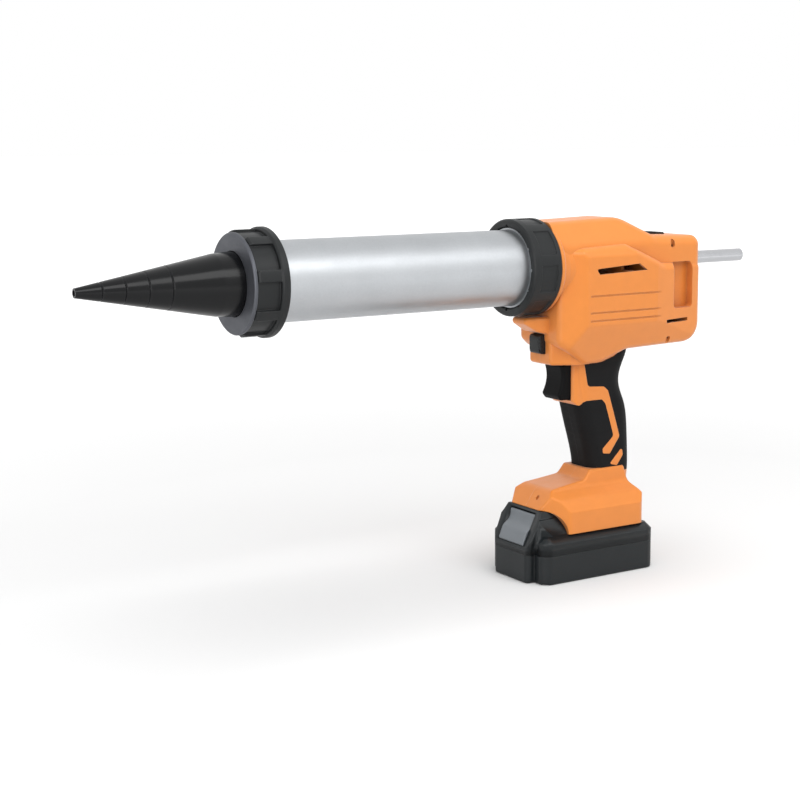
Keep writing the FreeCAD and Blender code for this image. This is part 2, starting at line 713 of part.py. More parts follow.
def shaft_bushes():
    """Four plain bushes in the cheeks and one in the rear wall."""
    bushes = []
    for y0 in (-CHEEK_Y - CHEEK, CHEEK_Y):
        for r, x, z in ((SHAFT_R, PINION_SHAFT_X, PINION_Z), (LAY_SHAFT_R, LAY_X, LAY_Z)):
            outer = rod_y(r + BUSH_WALL, y0, y0 + CHEEK, x, z)
            bushes.append(outer.cut(rod_y(r + RUN, y0 - 1, y0 + CHEEK + 1, x, z)))
    outer = rod_x(SHAFT_R + BUSH_WALL, REAR_WALL_X, REAR_WALL_X + CHEEK, MOTOR_Z)
    bushes.append(outer.cut(rod_x(SHAFT_R + RUN, REAR_WALL_X - 1, REAR_WALL_X + CHEEK + 1, MOTOR_Z)))
    return Part.makeCompound(bushes)


def rod_bush(x0, x1):
    return rod_x(ROD_R + BUSH_WALL, x0, x1).cut(rod_x(ROD_R + RUN, x0 - 1, x1 + 1))


# Motor

MOTOR_REAR_X = MOTOR_FRONT_X - MOTOR_LEN


def motor_can():
    can = rod_x(MOTOR_R, MOTOR_REAR_X, MOTOR_FRONT_X + 3.0, MOTOR_Z)
    inside = rod_x(MOTOR_R - MOTOR_WALL, MOTOR_REAR_X + 2.0, MOTOR_FRONT_X, MOTOR_Z)
    shaft = rod_x(MOTOR_SHAFT_R + RUN, MOTOR_REAR_X - 1, MOTOR_FRONT_X + 4, MOTOR_Z)
    vents = []
    for i in range(4):
        slot = box(MOTOR_REAR_X + 4, MOTOR_REAR_X + 9, -3.5, 3.5, MOTOR_Z + MOTOR_R - 4,
                   MOTOR_Z + MOTOR_R + 2)
        vents.append(around_x(slot, 45 + 90 * i, MOTOR_Z))
    return can.cut(inside).cut(shaft).cut(Part.makeCompound(vents))


def motor_magnets():
    outer = MOTOR_R - MOTOR_WALL - RUN
    ring = rod_x(outer, MOTOR_REAR_X + 10, MOTOR_FRONT_X - 3, MOTOR_Z)
    ring = ring.cut(rod_x(outer - MAGNET, MOTOR_REAR_X, MOTOR_FRONT_X, MOTOR_Z))
    gap = box(MOTOR_REAR_X, MOTOR_FRONT_X, -BIG, BIG, MOTOR_Z - 3, MOTOR_Z + 3)
    return Part.makeCompound(ring.cut(gap).Solids)


def rotor():
    core0 = MOTOR_REAR_X + 12
    core1 = MOTOR_FRONT_X - 6
    shaft = rod_x(MOTOR_SHAFT_R, FAN_X - 1.0, PLANET_X - 1.0 + SUN_W, MOTOR_Z)
    core = rod_x(ROTOR_R, core0, core1, MOTOR_Z)
    commutator = rod_x(5.0, MOTOR_REAR_X + 4, core0, MOTOR_Z)
    slots = [around_x(box(core0, core1, -0.8, 0.8, MOTOR_Z + 6, MOTOR_Z + ROTOR_R + 1), 72 * i, MOTOR_Z)
             for i in range(5)]
    return fused([shaft, core.cut(Part.makeCompound(slots)), commutator])


FAN_X = MOTOR_REAR_X - FAN_W - 1.5


def cooling_fan():
    hub = rod_x(6.0, FAN_X, FAN_X + FAN_W, MOTOR_Z)
    back = rod_x(FAN_R, FAN_X, FAN_X + 1.2, MOTOR_Z)
    blade = box(FAN_X, FAN_X + FAN_W, -0.6, 0.6, MOTOR_Z + 4.5, MOTOR_Z + FAN_R)
    blades = [around_x(blade, 360.0 * i / FAN_BLADES, MOTOR_Z) for i in range(FAN_BLADES)]
    return fused([hub, back] + blades).cut(rod_x(MOTOR_SHAFT_R, -BIG, BIG, MOTOR_Z))


# Housing

HOOD_SIDE = [(38.6, AXIS_Z), (38.6, HOOD_TOP_Z - HOOD_NOSE_DROP), (-28.0, HOOD_TOP_Z, 30),
             (-56.0, REAR_TOP_Z, 8),
             (BODY_REAR_X, REAR_TOP_Z - 1.5), (BODY_REAR_X, 190.0), (-40.0, 190.0)]
HOOD_END = both_sides_end([(17.0, HOOD_TOP_Z + 0.6), (HOOD_Y, SHOULDER_Z), (HOOD_Y, 190.0)])
HOOD_PLAN = both_sides([(38.6, HOOD_Y), (BODY_REAR_X, HOOD_Y - 1.0)])
HOOD_FRONT_X = 38.0
SHOULDER_R = 12.0
RIDGE_R = 8.0
REAR_R = 6.0
BULGE_R = 6.0
CHIN_R = 3.0
BASE_R = 2.2
BULGE_SIDE = [(34.0, 180.0), (34.0, 250.0), (-24.0, 252.4), (-60.0, 236.5), (BODY_REAR_X, 236.5),
              (BODY_REAR_X, BULGE_LOW_Z + 2.0, 16), (-30.0, BULGE_LOW_Z, 20), (-8.0, CHIN_LOW_Z, 12),
              (8.0, CHIN_LOW_Z)]
BULGE_END = both_sides_end([(29.0, 256.0), (BULGE_Y, 244.0), (BULGE_Y, 193.0), (22.0, 160.0)])
BULGE_PLAN = both_sides([(34.0, 24.5), (15.0, BULGE_Y), (-52.0, BULGE_Y), (BODY_REAR_X, 28.4)])
CHIN_FRONT_Y = 13.0
CHIN_SIDE = [(61.0, 199.6), (42.0, 188.2), (CHIN_X, 186.0), (CHIN_X, CHIN_LOW_Z), (2.0, CHIN_LOW_Z),
             (2.0, 199.6)]
CHIN_PLAN = both_sides([(62.0, 7.0), (CHIN_X, CHIN_FRONT_Y), (20.0, CHIN_Y), (0.0, CHIN_Y)])
BASE_SIDE = [(-48.0, DECK_Z), (-48.0, 57.0), (-40.0, 66.0, 7), (-36.0, 80.0), (-3.0, 80.0),
             (3.0, 72.5, 5.6),
             (36.0, 68.5, 9), (46.0, 54.5), (46.0, DECK_Z)]
BASE_END = both_sides_end([(17.2, 82.0), (18.4, 68.0, 5.6), (27.0, 61.5, 6), (BASE_Y, 52.5),
                           (BASE_Y, DECK_Z)])
BASE_PLAN = both_sides([(46.0, 18.0, 4.2), (27.0, BASE_Y, 7), (-42.0, BASE_Y, 6), (-48.0, 25.0, 4)])
HANDLE = [(170.0, -44.0, 12.0, 16.8), (158.0, -39.5, 12.0, 16.4), (148.0, -37.0, 11.0, 16.2),
          (130.0, -42.0, 7.0, 16.4), (110.0, -45.6, 1.6, 16.4), (90.0, -46.8, -3.8, 16.2),
          (70.0, -46.2, -5.0, 16.2)]
HANDLE_FRONT_R = 10.0
HANDLE_REAR_R = 13.5


def handle_form(inset=0.0):
    """The handle: rounded sections up its height, each (height, rear x, front x, half width)."""
    wires = []
    for z, rear, front, half in HANDLE:
        wide = half - inset
        plan = both_sides([(front - inset, wide, HANDLE_FRONT_R - inset),
                           (rear + inset, wide, HANDLE_REAR_R - inset)])
        wires.append(outline(plan, lambda p, height=z: Vector(p.x, p.y, height)))
    return Part.makeLoft(wires, True, False)


def hood_form(inset=0.0):
    """The top of the housing, rounded along its shoulders, its ridges and its rear end."""
    form = side_form(HOOD_SIDE, -BIG, BIG, inset).common(end_form(HOOD_END, -BIG, BIG, inset))
    form = form.common(plan_form(HOOD_PLAN, 0, BIG, inset))
    form = softened(form, SHOULDER_R - inset, lambda b: b.ZMin > SHOULDER_Z - 3
                    and b.ZMax < SHOULDER_Z + 2
                    and b.XLength > 30)
    form = softened(form, RIDGE_R - inset, lambda b: b.XMin < HOOD_FRONT_X - inset
                    and b.ZMin > SHOULDER_Z - 1
                    and b.XLength > 0.5)
    return softened(form, REAR_R - inset, lambda b: b.XMax < BODY_REAR_X + inset + 0.1)


def bulge_form(inset=0.0):
    """The gear chamber that swells both sides of the housing, rounded along all its edges."""
    form = side_form(BULGE_SIDE, -BIG, BIG, inset).common(end_form(BULGE_END, -BIG, BIG, inset))
    form = form.common(plan_form(BULGE_PLAN, 0, BIG, inset))
    return softened(form, BULGE_R - inset, lambda b: True)


def chin_form(inset=0.0):
    """The nose under the barrel's collar, which holds the lock button."""
    form = side_form(CHIN_SIDE, -BIG, BIG, inset).common(plan_form(CHIN_PLAN, 0, BIG, inset))
    return form if inset else softened(form, CHIN_R, lambda b: b.XMin > 3.0)


def base_form(inset=0.0):
    """The foot of the handle, down to the battery deck."""
    form = side_form(BASE_SIDE, -BIG, BIG, inset).common(end_form(BASE_END, -BIG, BIG, inset))
    form = form.common(plan_form(BASE_PLAN, 0, BIG, inset))
    return form if inset else softened(form, BASE_R, lambda b: b.ZMax > DECK_Z + 0.1)


def body_forms(inset=0.0):
    """The outer volumes of the housing, or with an inset the room inside its walls, the handle last."""
    return [form(inset) for form in (hood_form, bulge_form, chin_form, base_form, handle_form)]


def waist():
    """The round neck behind the collar, drawn in at its middle."""
    return turned([(10.0, 0), (10.0, 31.0), (22.0, 30.6), (28.0, 30.6), (33.0, 31.6), (36.0, 34.6),
                   (38.6, 34.6),
                   (38.6, 0)])


SHROUD_SIDE = [(SHROUD_X, 166.0), (SHROUD_X, 134.0, 4), (7.0, 129.5, 3), (-2.0, 136.0), (-8.0, 136.0),
               (-8.0, 166.0)]
SHROUD_PLAN = both_sides([(SHROUD_X, SHROUD_Y, 5), (-8.0, SHROUD_Y + 1.2)])

# Openings in the housing
VENT = [(7.0, 235.0, 1), (-34.0, 237.5, 1), (-41.5, 232.4), (4.0, 230.8, 1)]
SLIT = [(-62.5, 190.2), (-62.5, 192.8), (-86.0, 193.4), (-86.0, 190.8)]
RECESS = [(-70.0, 201.0, 3), (-70.0, 236.5, 3), (-91.0, 236.5, 3), (-91.0, 201.0, 3)]
RECESS_DEPTH = 5.0
RECESS_FLOOR_Y = 28.0 - RECESS_DEPTH
GROOVES_Z = (215.0, 202.5, 196.5, 190.0)
GROOVE = 1.2
GROOVE_DEPTH = 0.6

# Rubber grip, seen from the side: the orange windows that cut it
GRIP_LOW_Z = 75.5
WINDOW = [(40.0, 163.0), (3.5, 163.0), (-0.5, 144.4, 3), (-16.0, 143.2, 3), (-20.0, 139.8, 3),
          (-31.8, 103.0, 3),
          (-22.5, 90.2, 1), (-15.8, 91.0, 1), (-15.4, 94.6, 1), (-25.8, 104.0, 3), (-17.4, 130.0, 3),
          (-14.0, 133.4, 2), (0.5, 133.5, 3), (7.0, 130.2), (40.0, 132.0)]
STRIPE = [(-34.6, 94.2, 1.5), (-22.6, 82.2, 1), (-29.6, 80.2, 1.5), (-35.6, 88.0, 1.5)]
GRIP_TOP = [(40.0, 162.4), (-12.7, 162.4, 10), (-24.5, 166.0, 8), (-34.0, 171.6), (-60.0, 171.6),
            (-60.0, 200.0),
            (40.0, 200.0)]

# Screws across the housing from the right: x, z and the depth of the head's seat beyond the joint plane
SCREWS = [(-89.0, REAR_TOP_Z - 7.5, 20.0), (-68.0, 176.8, 20.0), (12.0, 169.0, 15.5), (-41.0, 50.0, 26.0),
          (35.7, 61.0, 12.0)]
BOSS_R = 3.4

# Blind dimples on the left: lower end, way out, radius and length of the slot across
DIMPLES = [(Vector(-72.0, 25.6, REAR_TOP_Z - 6.7), Vector(0, 1, 0), 2.0, 2.4),
           (Vector(-68.0, 26.4, 176.8), Vector(0, 1, 0), 1.8, 2.4),
           (Vector(39.6, 8.5, 61.0), Vector(0.814, 0, 0.581), 1.9, 0.0)]
DIMPLE_REACH = 12.0
RIBS_X = (-86.5, -74.0, -52.0, -31.0)
BRAKE_X0 = RIBS_X[1] + RIB
BRAKE_X1 = RIBS_X[2]
BRAKE_TOP_Z = REAR_TOP_Z - 13.5

# Battery seat
RAIL_Y = 18.0
RAIL_STEM_Y = 15.0
RAIL_STEM = 3.0
RAIL_TOP_Z = DECK_Z + 6.0
RAIL_REAR_X = -38.0
BLADE_YS = (-10.0, 0.0, 10.0)
BLADE = 0.8


def tower_bore(radius, extra=0.0):
    """The round front of the battery seat, as a cylinder across the tool."""
    return rod_y(radius + extra, -BIG, BIG, TOWER_X, DECK_Z)


def rail_form(clear=0.0):
    """The tee rail on top of the battery, or with a clearance its slot."""
    stem = RAIL_STEM_Y + clear
    head = RAIL_Y + clear
    neck = DECK_Z + RAIL_STEM - clear
    top = RAIL_TOP_Z + clear
    tee = both_sides_end([(stem, DECK_Z - clear), (stem, neck), (head, neck), (head, top)])
    return end_form(tee, RAIL_REAR_X - clear, TOWER_X + (BIG if clear else 0))


def rubber_grip(others):
    """The whole overmould: the handle's skin inside the grip's outline."""
    skin = handle_form().cut(handle_form(GRIP_SKIN))
    skin = skin.common(box(-BIG, BIG, -BIG, BIG, GRIP_LOW_Z, 171.6))
    for window in (WINDOW, STRIPE, GRIP_TOP):
        skin = skin.cut(side_form(window, -BIG, BIG))
    return skin.cut(others)


def housing():
    """Both shells and both grips: the outer form, hollowed, ribbed, bored and cut at the joint plane."""
    forms = body_forms()
    shroud = side_form(SHROUD_SIDE, -BIG, BIG).common(plan_form(SHROUD_PLAN, 0, BIG))
    others = fused(forms[:4] + [waist(), shroud])
    rubber = rubber_grip(others)
    outer = fused([others, forms[4]])
    inner = fused(body_forms(WALL))
    inner = inner.cut(tower_bore(TOWER_R, WALL))
    bore = rod_x(CASE_DISC_R + SLIP, 10.0, COLLAR_X + 1)
    shell = outer.cut(inner).cut(bore)

    ribs = []
    room = fused([inner, bore])
    for x in RIBS_X:
        slab = box(x, x + RIB, -BIG, BIG, 170.0, BRAKE_TOP_Z)
        hold = RING_R if x > MOTOR_FRONT_X else MOTOR_R
        slab = slab.cut(rod_x(hold + RUN, x - 1, x + RIB + 1, MOTOR_Z)).cut(rod_x(ROD_R + PLAY, x - 1,
                                                                                  x + RIB + 1))
        ribs.append(slab.common(room))
    shelves = [box(-34.0, -6.0, -BIG, BIG, z, z + RIB) for z in (SWITCH_LOW_Z - RIB, SWITCH_TOP_Z)]
    ribs += [shelf.common(handle_form(WALL / 2)) for shelf in shelves]
    ribs.append(box(BUTTON_RIB_X, BUTTON_RIB_X + RIB, -12.0, 12.0, CHIN_LOW_Z + 1,
                    BUTTON_Z0 + 8.0).common(outer))
    ribs.append(box(BLOCK_X0, BLOCK_X1, -BASE_Y, BASE_Y, BOARD_Z - RIB, BOARD_Z).common(room))
    for side in (-1, 1):
        pad0 = RECESS_FLOOR_Y - WALL
        y0 = pad0 if side > 0 else -BIG
        y1 = BIG if side > 0 else -pad0
        ribs.append(box(-95.0, -66.0, y0, y1, 197.0, 240.5).common(outer))
    for x, z, seat in SCREWS:
        ribs.append(rod_y(BOSS_R, -seat, seat + 4, x, z).common(outer))
    shell = shell.multiFuse(ribs)

    cuts = [rubber, rail_form(SLIP), tower_bore(TOWER_R)]
    cuts.append(rod_x(ROD_R + BUSH_WALL, BODY_REAR_X - 1, BODY_REAR_X + 8.0))
    cuts.append(box(-30.0, 45.0, -TRIGGER_Y - PLAY, TRIGGER_Y + PLAY, TRIGGER_LOW_Z - 0.5,
                    TRIGGER_TOP_Z + 0.5).cut(
        box(-31.0, SWITCH_X1, -BIG, BIG, 0, BIG)))
    cuts.append(box(CHIN_X - 8.0, 45.0, -BUTTON_Y - PLAY, BUTTON_Y + PLAY, BUTTON_Z0 - PLAY,
                    BUTTON_Z1 + PLAY))
    cuts.append(box(RELEASE_X0 - PLAY, RELEASE_X1 + PLAY, -RELEASE_Y - PLAY, RELEASE_Y + PLAY,
                    RELEASE_FLANGE_TOP_Z - 4.6, BIG))
    for sign in (-1, 1):
        y0, y1 = (20.0, 45.0) if sign > 0 else (-45.0, -20.0)
        cuts.append(side_form(VENT, y0, y1))
        cuts.append(side_form(SLIT, y0, y1))
        floor0, floor1 = (RECESS_FLOOR_Y, 45.0) if sign > 0 else (-45.0, -RECESS_FLOOR_Y)
        cuts.append(side_form(RECESS, floor0, floor1))
        skin0, skin1 = (BULGE_Y - GROOVE_DEPTH, 45.0) if sign > 0 else (-45.0, GROOVE_DEPTH - BULGE_Y)
        cuts += [box(-56.0, 12.0, skin0, skin1, z - GROOVE / 2, z + GROOVE / 2) for z in GROOVES_Z]
    for x, z, seat in SCREWS:
        cuts.append(rod_y(SCREW_R + RUN, -seat - 1, seat + 2, x, z))
        cuts.append(rod_y(HEAD_R + SLIP, -60.0, -seat, x, z))
    cuts += [dimple(*row) for row in DIMPLES]
    shell = shell.cut(Part.makeCompound(cuts))
    left = box(-BIG, BIG, 0, BIG, -BIG, BIG)
    right = box(-BIG, BIG, -BIG, 0, -BIG, BIG)
    return {
        "housing_left": largest(shell.common(left)),
        "housing_right": largest(shell.common(right)),
        "grip_left": largest(rubber.common(left)),
        "grip_right": largest(rubber.common(right)),
    }


def dimple(low, out, radius, slot):
    """A round or drawn-out blind mark in the skin."""
    ends = [Part.makeCylinder(radius, DIMPLE_REACH, low + Vector(0, 0, z), out)
            for z in (-slot / 2, slot / 2)]
    if not slot:
        return ends[0]
    middle = box(low.x - radius, low.x + radius, low.y, low.y + DIMPLE_REACH, low.z - slot / 2,
                 low.z + slot / 2)
    return fused(ends + [middle])


def largest(shape):
    """The main solid of a shape that a cut has left chips beside."""
    return max(shape.Solids, key=lambda solid: solid.Volume)


def housing_screws():
    screws = []
    for x, z, seat in SCREWS:
        shank = rod_y(SCREW_R, -seat, seat, x, z)
        head = rod_y(HEAD_R, -seat - HEAD_LEN, -seat, x, z)
        drive0 = -seat - HEAD_LEN - 1
        drive1 = -seat - HEAD_LEN + 1
        slot = box(x - 2, x + 2, drive0, drive1, z - 0.4, z + 0.4)
        cross = box(x - 0.4, x + 0.4, drive0, drive1, z - 2, z + 2)
        screws.append(fused([shank, head]).cut(slot).cut(cross))
    return Part.makeCompound(screws)


# Controls

SWITCH_X0 = -29.0
SWITCH_X1 = -10.0
SWITCH_Y = 7.5
SWITCH_LOW_Z = 139.0
SWITCH_TOP_Z = 157.0
PLUNGER_R = 2.2
PLUNGER_Z = (SWITCH_LOW_Z + SWITCH_TOP_Z) / 2
BUTTON_RIB_X = CHIN_X - 15.0
BUTTON_FLANGE = 3.0
BUTTON_BACK_X = CHIN_X - WALL - SLIP - BUTTON_FLANGE
RELEASE_FLANGE_TOP_Z = REAR_TOP_Z - 4.9
RELEASE_FLANGE = 3.0
BLOCK_X0 = -36.0
BLOCK_X1 = -14.0
BOARD_Z = 57.0


def trigger():
    """Finger trigger with a hollowed front, sliding back on the switch."""
    top = TRIGGER_TOP_Z
    low = TRIGGER_LOW_Z
    side = [(TRIGGER_REAR_X, low), (20.5, low, 3), (23.5, low + 4.0, 2.5), (18.0, 150.0, 22),
            (21.5, top, 2),
            (TRIGGER_REAR_X, top)]
    block = side_form(side, -TRIGGER_Y, TRIGGER_Y)
    front = [edge for edge in block.Edges if edge.BoundBox.XMin > SHROUD_X
             and edge.BoundBox.YLength < 0.01]
    return block.makeFillet(TRIGGER_ROUND, front)


def switch_box():
    body = box(SWITCH_X0, SWITCH_X1, -SWITCH_Y, SWITCH_Y, SWITCH_LOW_Z, SWITCH_TOP_Z)
    return body.cut(rod_x(PLUNGER_R + RUN, SWITCH_X0 + 4.0, SWITCH_X1 + 1, PLUNGER_Z))


def switch_plunger():
    return rod_x(PLUNGER_R, SWITCH_X0 + 4.0 + TRIGGER_TRAVEL + 1.0, TRIGGER_REAR_X, PLUNGER_Z)


def trigger_spring():
    return coil(PLUNGER_R + 1.2, SPRING_WIRE_R, 3, TRIGGER_REAR_X - SWITCH_X1 - 2 * SPRING_WIRE_R,
                Vector(SWITCH_X1 + SPRING_WIRE_R, 0, PLUNGER_Z), Vector(1, 0, 0))


def lock_button():
    side = [(BUTTON_BACK_X, BUTTON_Z0), (BUTTON_X - 1.5, BUTTON_Z0, 3), (BUTTON_X, BUTTON_Z1, 3.5),
            (BUTTON_BACK_X, BUTTON_Z1)]
    plan = both_sides([(BUTTON_X, BUTTON_Y, 3), (BUTTON_BACK_X, BUTTON_Y)])
    block = side_form(side, -BUTTON_Y, BUTTON_Y).common(plan_form(plan, 0, BIG))
    flange = box(BUTTON_BACK_X, BUTTON_BACK_X + BUTTON_FLANGE, -BUTTON_Y - 2, BUTTON_Y + 2, BUTTON_Z0 - 2,
                 BUTTON_Z1 + 2)
    return fused([block, flange])


def lock_spring():
    x0 = BUTTON_RIB_X + RIB
    return coil(2.6, SPRING_WIRE_R, 3, BUTTON_BACK_X - x0 - 2 * SPRING_WIRE_R,
                Vector(x0 + SPRING_WIRE_R, 0, BUTTON_Z0 + 3.5), Vector(1, 0, 0))


def release_button():
    low = RELEASE_FLANGE_TOP_Z - RELEASE_FLANGE
    side = [(RELEASE_X0, low), (RELEASE_X0, RELEASE_TOP_Z - 1.2, 2),
            (RELEASE_X0 + 11.0, RELEASE_TOP_Z - 0.4, 20),
            (RELEASE_X1, RELEASE_TOP_Z, 2), (RELEASE_X1, low)]
    block = side_form(side, -RELEASE_Y, RELEASE_Y)
    starts = [RELEASE_X0 + 5.0 + RELEASE_RIB_PITCH * i for i in range(RELEASE_RIBS)]
    grips = [box(x, x + 1.0, -RELEASE_Y + 1.5, RELEASE_Y - 1.5, RELEASE_TOP_Z - 1.3, RELEASE_TOP_Z + 1)
             for x in starts]
    flange = box(RELEASE_X0 - 1.5, RELEASE_X1 + 1.5, -RELEASE_Y - 1.5, RELEASE_Y + 1.5, low,
                 RELEASE_FLANGE_TOP_Z)
    return fused([block.cut(Part.makeCompound(grips)), flange])


def release_spring():
    gap = RELEASE_FLANGE_TOP_Z - RELEASE_FLANGE - BRAKE_TOP_Z
    return coil(3.0, SPRING_WIRE_R, 2.5, gap - 2 * SPRING_WIRE_R,
                Vector((BRAKE_X0 + BRAKE_X1) / 2, 0, BRAKE_TOP_Z + SPRING_WIRE_R), Vector(0, 0, 1))


def rod_brake():
    """The catch block that grips the rod, between two ribs."""
    block = box(BRAKE_X0, BRAKE_X1, -10.0, 10.0, AXIS_Z - 10.0, BRAKE_TOP_Z)
    return block.cut(rod_x(ROD_R + RUN, BRAKE_X0 - 1, BRAKE_X1 + 1))


def terminal_block():
    return box(BLOCK_X0, BLOCK_X1, -14.0, 14.0, RAIL_TOP_Z + 1.5, BOARD_Z - RIB)


def contact_blades():
    blades = [box(BLOCK_X0, BLOCK_X0 + 8.0, y - BLADE / 2, y + BLADE / 2, RAIL_TOP_Z - 2.6,
                  RAIL_TOP_Z + 1.5)
              for y in BLADE_YS]
    return Part.makeCompound(blades)


def control_board():
    return box(-34.0, 22.0, -17.0, 17.0, BOARD_Z, BOARD_Z + 1.6)


# Battery

PACK_PLAN = both_sides([(PACK_X, PACK_Y, PACK_CORNER), (-PACK_X, PACK_Y, PACK_CORNER)])
NOSE_PLAN = both_sides([(TOWER_NOSE_X, 22.0, 4), (30.0, 22.0)])
NOSE_TOP_Z = 27.0
TOWER_END = both_sides_end([(20.0, TOWER_TOP_Z, 4), (23.0, 48.0, 8), (30.5, DECK_Z - 1.0),
                            (30.5, PACK_SPLIT_Z)])
SLOPE_LOW = Vector(TOWER_NOSE_X, 0, NOSE_TOP_Z)
SLOPE_HIGH = Vector(TOWER_X + 0.8, 0, DECK_Z + TOWER_R - SLIP)
SLOPE = (SLOPE_HIGH - SLOPE_LOW).normalize()
OUT = Vector(SLOPE.z, 0, -SLOPE.x)


def on_slope(points):
    """Corners (along, out) on the tower's sloping face, as corners (x, z)."""
    placed = []
    for p in points:
        spot = SLOPE_LOW + SLOPE * p[0] + OUT * p[1]
        placed.append((spot.x, spot.z) + tuple(p[2:]))
    return placed


def pack_form(z0, z1, inset=0.0):
    box_form = plan_form(PACK_PLAN, z0, z1, inset)
    nose = plan_form(NOSE_PLAN, z0, min(z1, NOSE_TOP_Z), inset)
    return fused([box_form, nose])


def battery_case():
    tub = pack_form(0, PACK_SPLIT_Z)
    foot = [edge for edge in tub.Edges if edge.BoundBox.ZMax < 0.01]
    tub = tub.makeChamfer(1.2, foot)
    tub = tub.cut(pack_form(PACK_WALL, PACK_SPLIT_Z + 1, PACK_WALL))
    posts = [rod_z(PACK_POST_R, PACK_WALL, PACK_SPLIT_Z, x, y) for x, y in PACK_SCREWS]
    tub = fused([tub] + posts)
    holes = [rod_z(1.5, 0.0, PACK_SPLIT_Z + 1, x, y) for x, y in PACK_SCREWS]
    holes += [rod_z(2.9, -1.0, 2.6, x, y) for x, y in PACK_SCREWS]
    return tub.cut(Part.makeCompound(holes))


PACK_SCREWS = [(sx * (PACK_X - PACK_POST_IN), sy * (PACK_Y - PACK_POST_IN)) for sx in (-1, 1)
               for sy in (-1, 1)]


def battery_cover():
    """Deck with the tee rail and the round-backed tower that carries the latch."""
    deck = plan_form(PACK_PLAN, PACK_SPLIT_Z, DECK_Z)
    rim = [edge for edge in deck.Edges if edge.BoundBox.ZMin > DECK_Z - 0.01]
    deck = deck.makeChamfer(PACK_BEVEL, rim)
    room = plan_form(PACK_PLAN, PACK_SPLIT_Z - 1, DECK_Z - PACK_BEVEL - 1.0, PACK_WALL)
    nose = plan_form(NOSE_PLAN, PACK_SPLIT_Z, NOSE_TOP_Z)
    back = tower_bore(TOWER_R, -SLIP).common(box(0, TOWER_X, -BIG, BIG, DECK_Z, BIG))
    front = side_form([(TOWER_X, SLOPE_HIGH.z), (SLOPE_HIGH.x, SLOPE_HIGH.z), (TOWER_NOSE_X, NOSE_TOP_Z),
                       (TOWER_NOSE_X, PACK_SPLIT_Z), (TOWER_X, PACK_SPLIT_Z)], -BIG, BIG)
    tower = fused([back, front]).common(end_form(TOWER_END, 0, BIG))
    tower = tower.common(plan_form(NOSE_WIDE_PLAN, 0, BIG))
    cover = fused([deck.cut(room), nose, tower, rail_form()])
    pocket_side = on_slope([(1.0, -9.6), (1.0, 12.0), (28.0, 12.0), (28.0, -9.6)])
    cuts = [side_form(pocket_side, -LATCH_Y - SLIP, LATCH_Y + SLIP)]
    cuts += [box(RAIL_REAR_X - 1, BLOCK_X0 + 12.0, y - 1.0, y + 1.0, RAIL_TOP_Z - 3.2, RAIL_TOP_Z + 1)
             for y in BLADE_YS]
    posts = [rod_z(PACK_POST_R, PACK_SPLIT_Z, DECK_Z - PACK_BEVEL, x, y) for x, y in PACK_SCREWS]
    cover = fused([cover] + [post.common(deck) for post in posts])
    cuts += [rod_z(1.45, PACK_SPLIT_Z - 1, PACK_SPLIT_Z + 6.0, x, y) for x, y in PACK_SCREWS]
    return largest(cover.cut(Part.makeCompound(cuts)))


NOSE_WIDE_PLAN = both_sides([(TOWER_NOSE_X, 22.0, 4), (52.0, 24.0, 6), (40.0, 31.0), (20.0, 31.0)])


def battery_latch():
    side = on_slope([(1.4, -6.0), (1.4, 0.8, 1.5), (12.0, 1.6, 7), (19.5, -2.4, 8), (27.0, 0.6, 1.5),
                     (27.0, -6.0)])
    latch = side_form(side, -LATCH_Y, LATCH_Y)
    skin = [edge for edge in latch.Edges if edge.BoundBox.YLength < 0.01
            and (edge.CenterOfMass - SLOPE_LOW).dot(OUT) > -2.4]
    return latch.makeFillet(LATCH_ROUND, skin)


def latch_spring():
    start = SLOPE_LOW + SLOPE * 12.0 + OUT * (-9.6 + SPRING_WIRE_R)
    return coil(3.0, SPRING_WIRE_R, 2, 3.6 - 2 * SPRING_WIRE_R, start, OUT)


def cell_x(index):
    return (index - (CELLS - 1) / 2) * CELL_PITCH


CELL_Z = PACK_WALL + CELL_R + SLIP


def battery_cells():
    cells = []
    for i in range(CELLS):
        can = rod_y(CELL_R, -CELL_LEN / 2, CELL_LEN / 2 - 1.5, cell_x(i), CELL_Z)
        button = rod_y(3.0, CELL_LEN / 2 - 1.5, CELL_LEN / 2, cell_x(i), CELL_Z)
        cells.append(fused([can, button]))
    return Part.makeCompound(cells)


def cell_holder():
    comb = box(-49.0, 49.0, -6.0, 6.0, PACK_WALL, PACK_SPLIT_Z)
    return comb.cut(Part.makeCompound([rod_y(CELL_R + RUN, -7, 7, cell_x(i), CELL_Z)
                                       for i in range(CELLS)]))


def battery_board():
    return box(-40.0, 30.0, -20.0, 20.0, PACK_SPLIT_Z, PACK_SPLIT_Z + 1.6)


def battery_screws():
    screws = []
    for x, y in PACK_SCREWS:
        shank = rod_z(1.4, 2.6, PACK_SPLIT_Z + 5.0, x, y)
        head = rod_z(2.7, 0.8, 2.6, x, y)
        screws.append(fused([shank, head]))
    return Part.makeCompound(screws)


